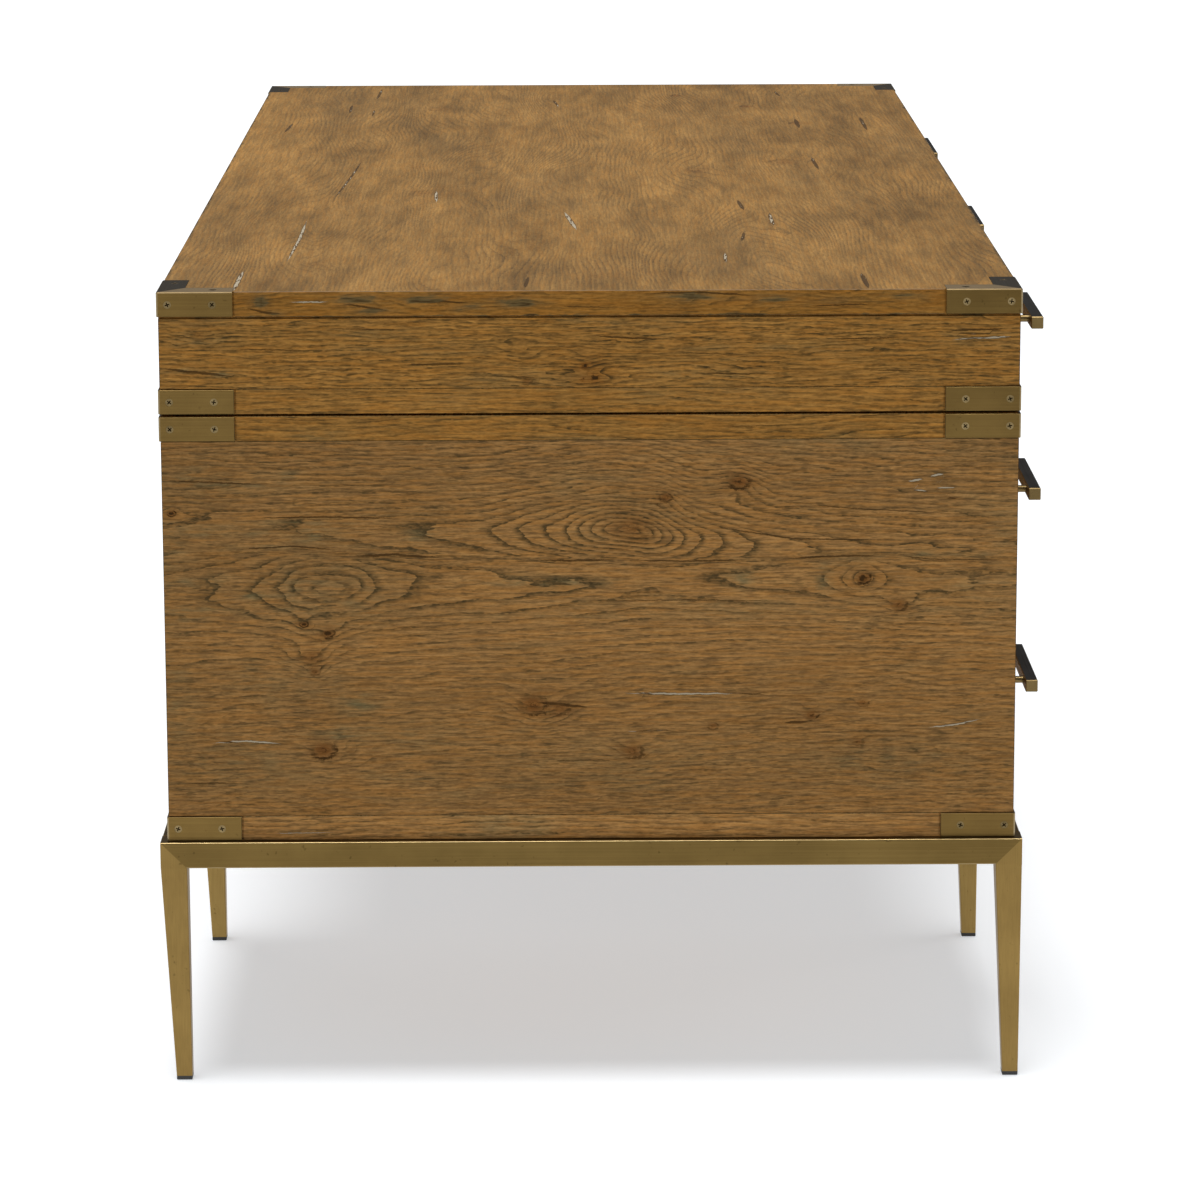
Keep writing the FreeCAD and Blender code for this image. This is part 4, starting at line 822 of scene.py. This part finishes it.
# legs under the desk (|x| < 0.6 m) take the painted light copy
dress("base_legs", LEG, LEG_IN_PAINTED_LIGHT, by=lambda n, c: 1 if abs(c[0]) < 0.6 else 0)
dress("glides", GLIDE)
dress("spacer_pads", FELT)
dress("slide_cabinet_members", SLIDE)
for d in DRAWERS:
    # upward faces take the painted dark reflection, bevels the painted highlight
    dress(d + "_handle", HANDLE, HANDLE_EDGE_PAINTED_HIGHLIGHT, HANDLE_TOP_PAINTED_DARK_REFLECTION, by=lambda n, c: 2 if n[2] > 0.9 else bevels(n, c))
    dress(d + "_slide_inners", SLIDE)
    dress(d + "_slide_middles", SLIDE)

# ---------------------------------------------------------------- boards
def inside_pedestal(n, c):
    return abs(n[0]) > 0.5 and n[0] * (abs(c[0]) - 0.613) * c[0] < 0


wood_board("top_slab", OAK_TOP, 11, (8.0, 5.0, 4.0), hidden=lambda n, c: n[2] < -0.5, edge_material=OAK_EDGE,
           special=lambda ax, sg, x, y, z: desktop(x, y) if ax == 2 and sg else slab_end(y, z) if ax == 0 and not sg else None)
wood_board("pedestal_left_sides", OAK_CASE, 23, (None, 2.8, 2.2), stile=True, hidden=lambda n, c: inside_pedestal(n, c) or c[0] > -0.6,
           special=lambda ax, sg, x, y, z: end_panel(y, z) if ax == 0 and not sg and x.mean() < -800 else None, coarse=8.0)
wood_board("pedestal_right_sides", OAK_CASE, 31, (None, 3.6, 2.6), stile=True, hidden=lambda n, c: inside_pedestal(n, c) or c[0] < 0.6, coarse=8.0,
           special=lambda ax, sg, x, y, z: end_panel(y, 896 - z) if ax == 0 and sg and x.mean() > 800 else None)
wood_board("upper_end_panels", OAK_UPPER, 41, (None, 3.5, 2.4), stile=True, hidden=lambda n, c: n[0] * c[0] < 0 or c[0] > 0, coarse=6.0,
           special=lambda ax, sg, x, y, z: upper_panel(y, z) if ax == 0 and not sg and x.mean() < -800 else None)
wood_board("upper_partitions", OAK_CASE, 47, (None, 12.0, 6.0), stile=True)
wood_board("upper_bottom_board", OAK_UPPER, 53, (12.0, 8.0, 4.0), hidden=lambda n, c: n[2] > 0.5)
wood_board("upper_back_panel", OAK_CASE, 59, (8.0, None, 5.0), hidden=lambda n, c: n[1] < -0.5)
for side, s in (("left", 61), ("right", 83)):
    wood_board(f"pedestal_{side}_top_board", OAK_UPPER, s, (8.0, 6.0, 4.0), tone=-0.08, hidden=lambda n, c: abs(n[2]) > 0.5)
    wood_board(f"pedestal_{side}_bottom_board", OAK_CASE, s + 3, (8.0, 6.0, 4.0), tone=1.0, hidden=lambda n, c: abs(n[2]) > 0.5)
    wood_board(f"pedestal_{side}_back_panel", OAK_CASE, s + 7, (8.0, None, 5.0), hidden=lambda n, c: n[1] < -0.5)
    wood_board(f"pedestal_{side}_dust_board", OAK_CASE, s + 11, (10.0, 14.0, 4.0), hidden=lambda n, c: abs(n[2]) > 0.5)
for i, d in enumerate(DRAWERS):
    wood_board(d + "_front", OAK_FRONT, 101 + 7 * i, (6.0, 8.0, 3.5), hidden=lambda n, c: n[1] > 0.5)
    wood_board(d + "_box", BOX_WOOD, 211 + 7 * i, (16.0, 16.0, 10.0), side_edges=True, pitch=9.0)

# ---------------------------------------------------------------- floor, light, camera
floor_me = bpy.data.meshes.new("floor")
floor_me.from_pydata([(-40, -40, 0), (40, -40, 0), (40, 40, 0), (-40, 40, 0)], [], [(0, 1, 2, 3)])
floor = bpy.data.objects.new("floor", floor_me)
bpy.context.scene.collection.objects.link(floor)
floor.location.z = -0.0005
fg = Graph("floor_pale")
fp = fg.place()
fcol = fg.mix(fg.noise(fp, (1.5, 1.5, 1.5), 3.0, 0.5), (0.575, 0.590, 0.606, 1), (0.600, 0.615, 0.632, 1))
floor_me.materials.append(fg.set(Base_Color=fcol, Roughness=0.9, Emission_Color=(0.97, 1, 1.03, 1), Emission_Strength=0.475, Specular_IOR_Level=0.0))

world = bpy.context.scene.world or bpy.data.worlds.new("studio")
bpy.context.scene.world = world
world.use_nodes = True
wt = world.node_tree
wt.nodes.clear()
w_out = wt.nodes.new("ShaderNodeOutputWorld")
w_path = wt.nodes.new("ShaderNodeLightPath")
w_room = wt.nodes.new("ShaderNodeBackground")
w_room.inputs[0].default_value, w_room.inputs[1].default_value = (1, 1, 1, 1), 0.26
w_dim = wt.nodes.new("ShaderNodeBackground")
w_dim.inputs[0].default_value, w_dim.inputs[1].default_value = (1, 1, 1, 1), 0.16
w_seen = wt.nodes.new("ShaderNodeBackground")
w_seen.inputs[0].default_value, w_seen.inputs[1].default_value = (1, 1, 1, 1), 1.05
mix_a = wt.nodes.new("ShaderNodeMixShader")
mix_b = wt.nodes.new("ShaderNodeMixShader")
wt.links.new(w_path.outputs["Is Glossy Ray"], mix_a.inputs[0])
wt.links.new(w_room.outputs[0], mix_a.inputs[1])
wt.links.new(w_dim.outputs[0], mix_a.inputs[2])
wt.links.new(w_path.outputs["Is Camera Ray"], mix_b.inputs[0])
wt.links.new(mix_a.outputs[0], mix_b.inputs[1])
wt.links.new(w_seen.outputs[0], mix_b.inputs[2])
wt.links.new(mix_b.outputs[0], w_out.inputs[0])


def aim(obj, place, target):
    obj.location = place
    obj.rotation_euler = (Vector(target) - Vector(place)).to_track_quat("-Z", "Y").to_euler()


sun = bpy.data.objects.new("soft_overhead", bpy.data.lights.new("soft_overhead", "SUN"))
sun.data.energy, sun.data.angle = 2.9, math.radians(26)
bpy.context.scene.collection.objects.link(sun)
aim(sun, (-0.30, 0.25, 5.0), (0, 0, 0.4))
for name, place, target, size, power in (("end_softbox", (-4.6, 1.9, 2.6), (-0.6, 0.0, 0.45), 2.6, 8.0),
                                         ("front_softbox", (1.2, -5.0, 2.6), (0.0, 0.0, 0.4), 3.0, 30.0),
                                         ("back_softbox", (3.6, 3.4, 2.6), (0.3, 0.0, 0.4), 3.0, 20.0)):
    lamp = bpy.data.objects.new(name, bpy.data.lights.new(name, "AREA"))
    lamp.data.shape, lamp.data.size, lamp.data.energy = "SQUARE", size, power
    bpy.context.scene.collection.objects.link(lamp)
    aim(lamp, place, target)

cam_data = bpy.data.cameras.new("photo_view")
cam = bpy.data.objects.new("photo_view", cam_data)
bpy.context.scene.collection.objects.link(cam)
pitch_a, yaw_a, roll_a = 0.1856, -0.00792, -0.00305
fwd = Vector((math.cos(pitch_a) * math.cos(yaw_a), math.cos(pitch_a) * math.sin(yaw_a), -math.sin(pitch_a)))
right = Vector((math.sin(yaw_a), -math.cos(yaw_a), 0.0))
up = right.cross(fwd)
r2 = right * math.cos(roll_a) + up * math.sin(roll_a)
u2 = up * math.cos(roll_a) - right * math.sin(roll_a)
cam.matrix_world = Matrix(((r2.x, u2.x, -fwd.x, -4.90645), (r2.y, u2.y, -fwd.y, 0.03778), (r2.z, u2.z, -fwd.z, 1.43703), (0, 0, 0, 1)))
cam_data.sensor_width = 36.0
cam_data.lens = 131.895
cam_data.shift_y = -0.17
cam_data.clip_end = 200.0
bpy.context.scene.camera = cam
bpy.context.scene.view_settings.view_transform = "Standard"

bpy.context.view_layer.update()
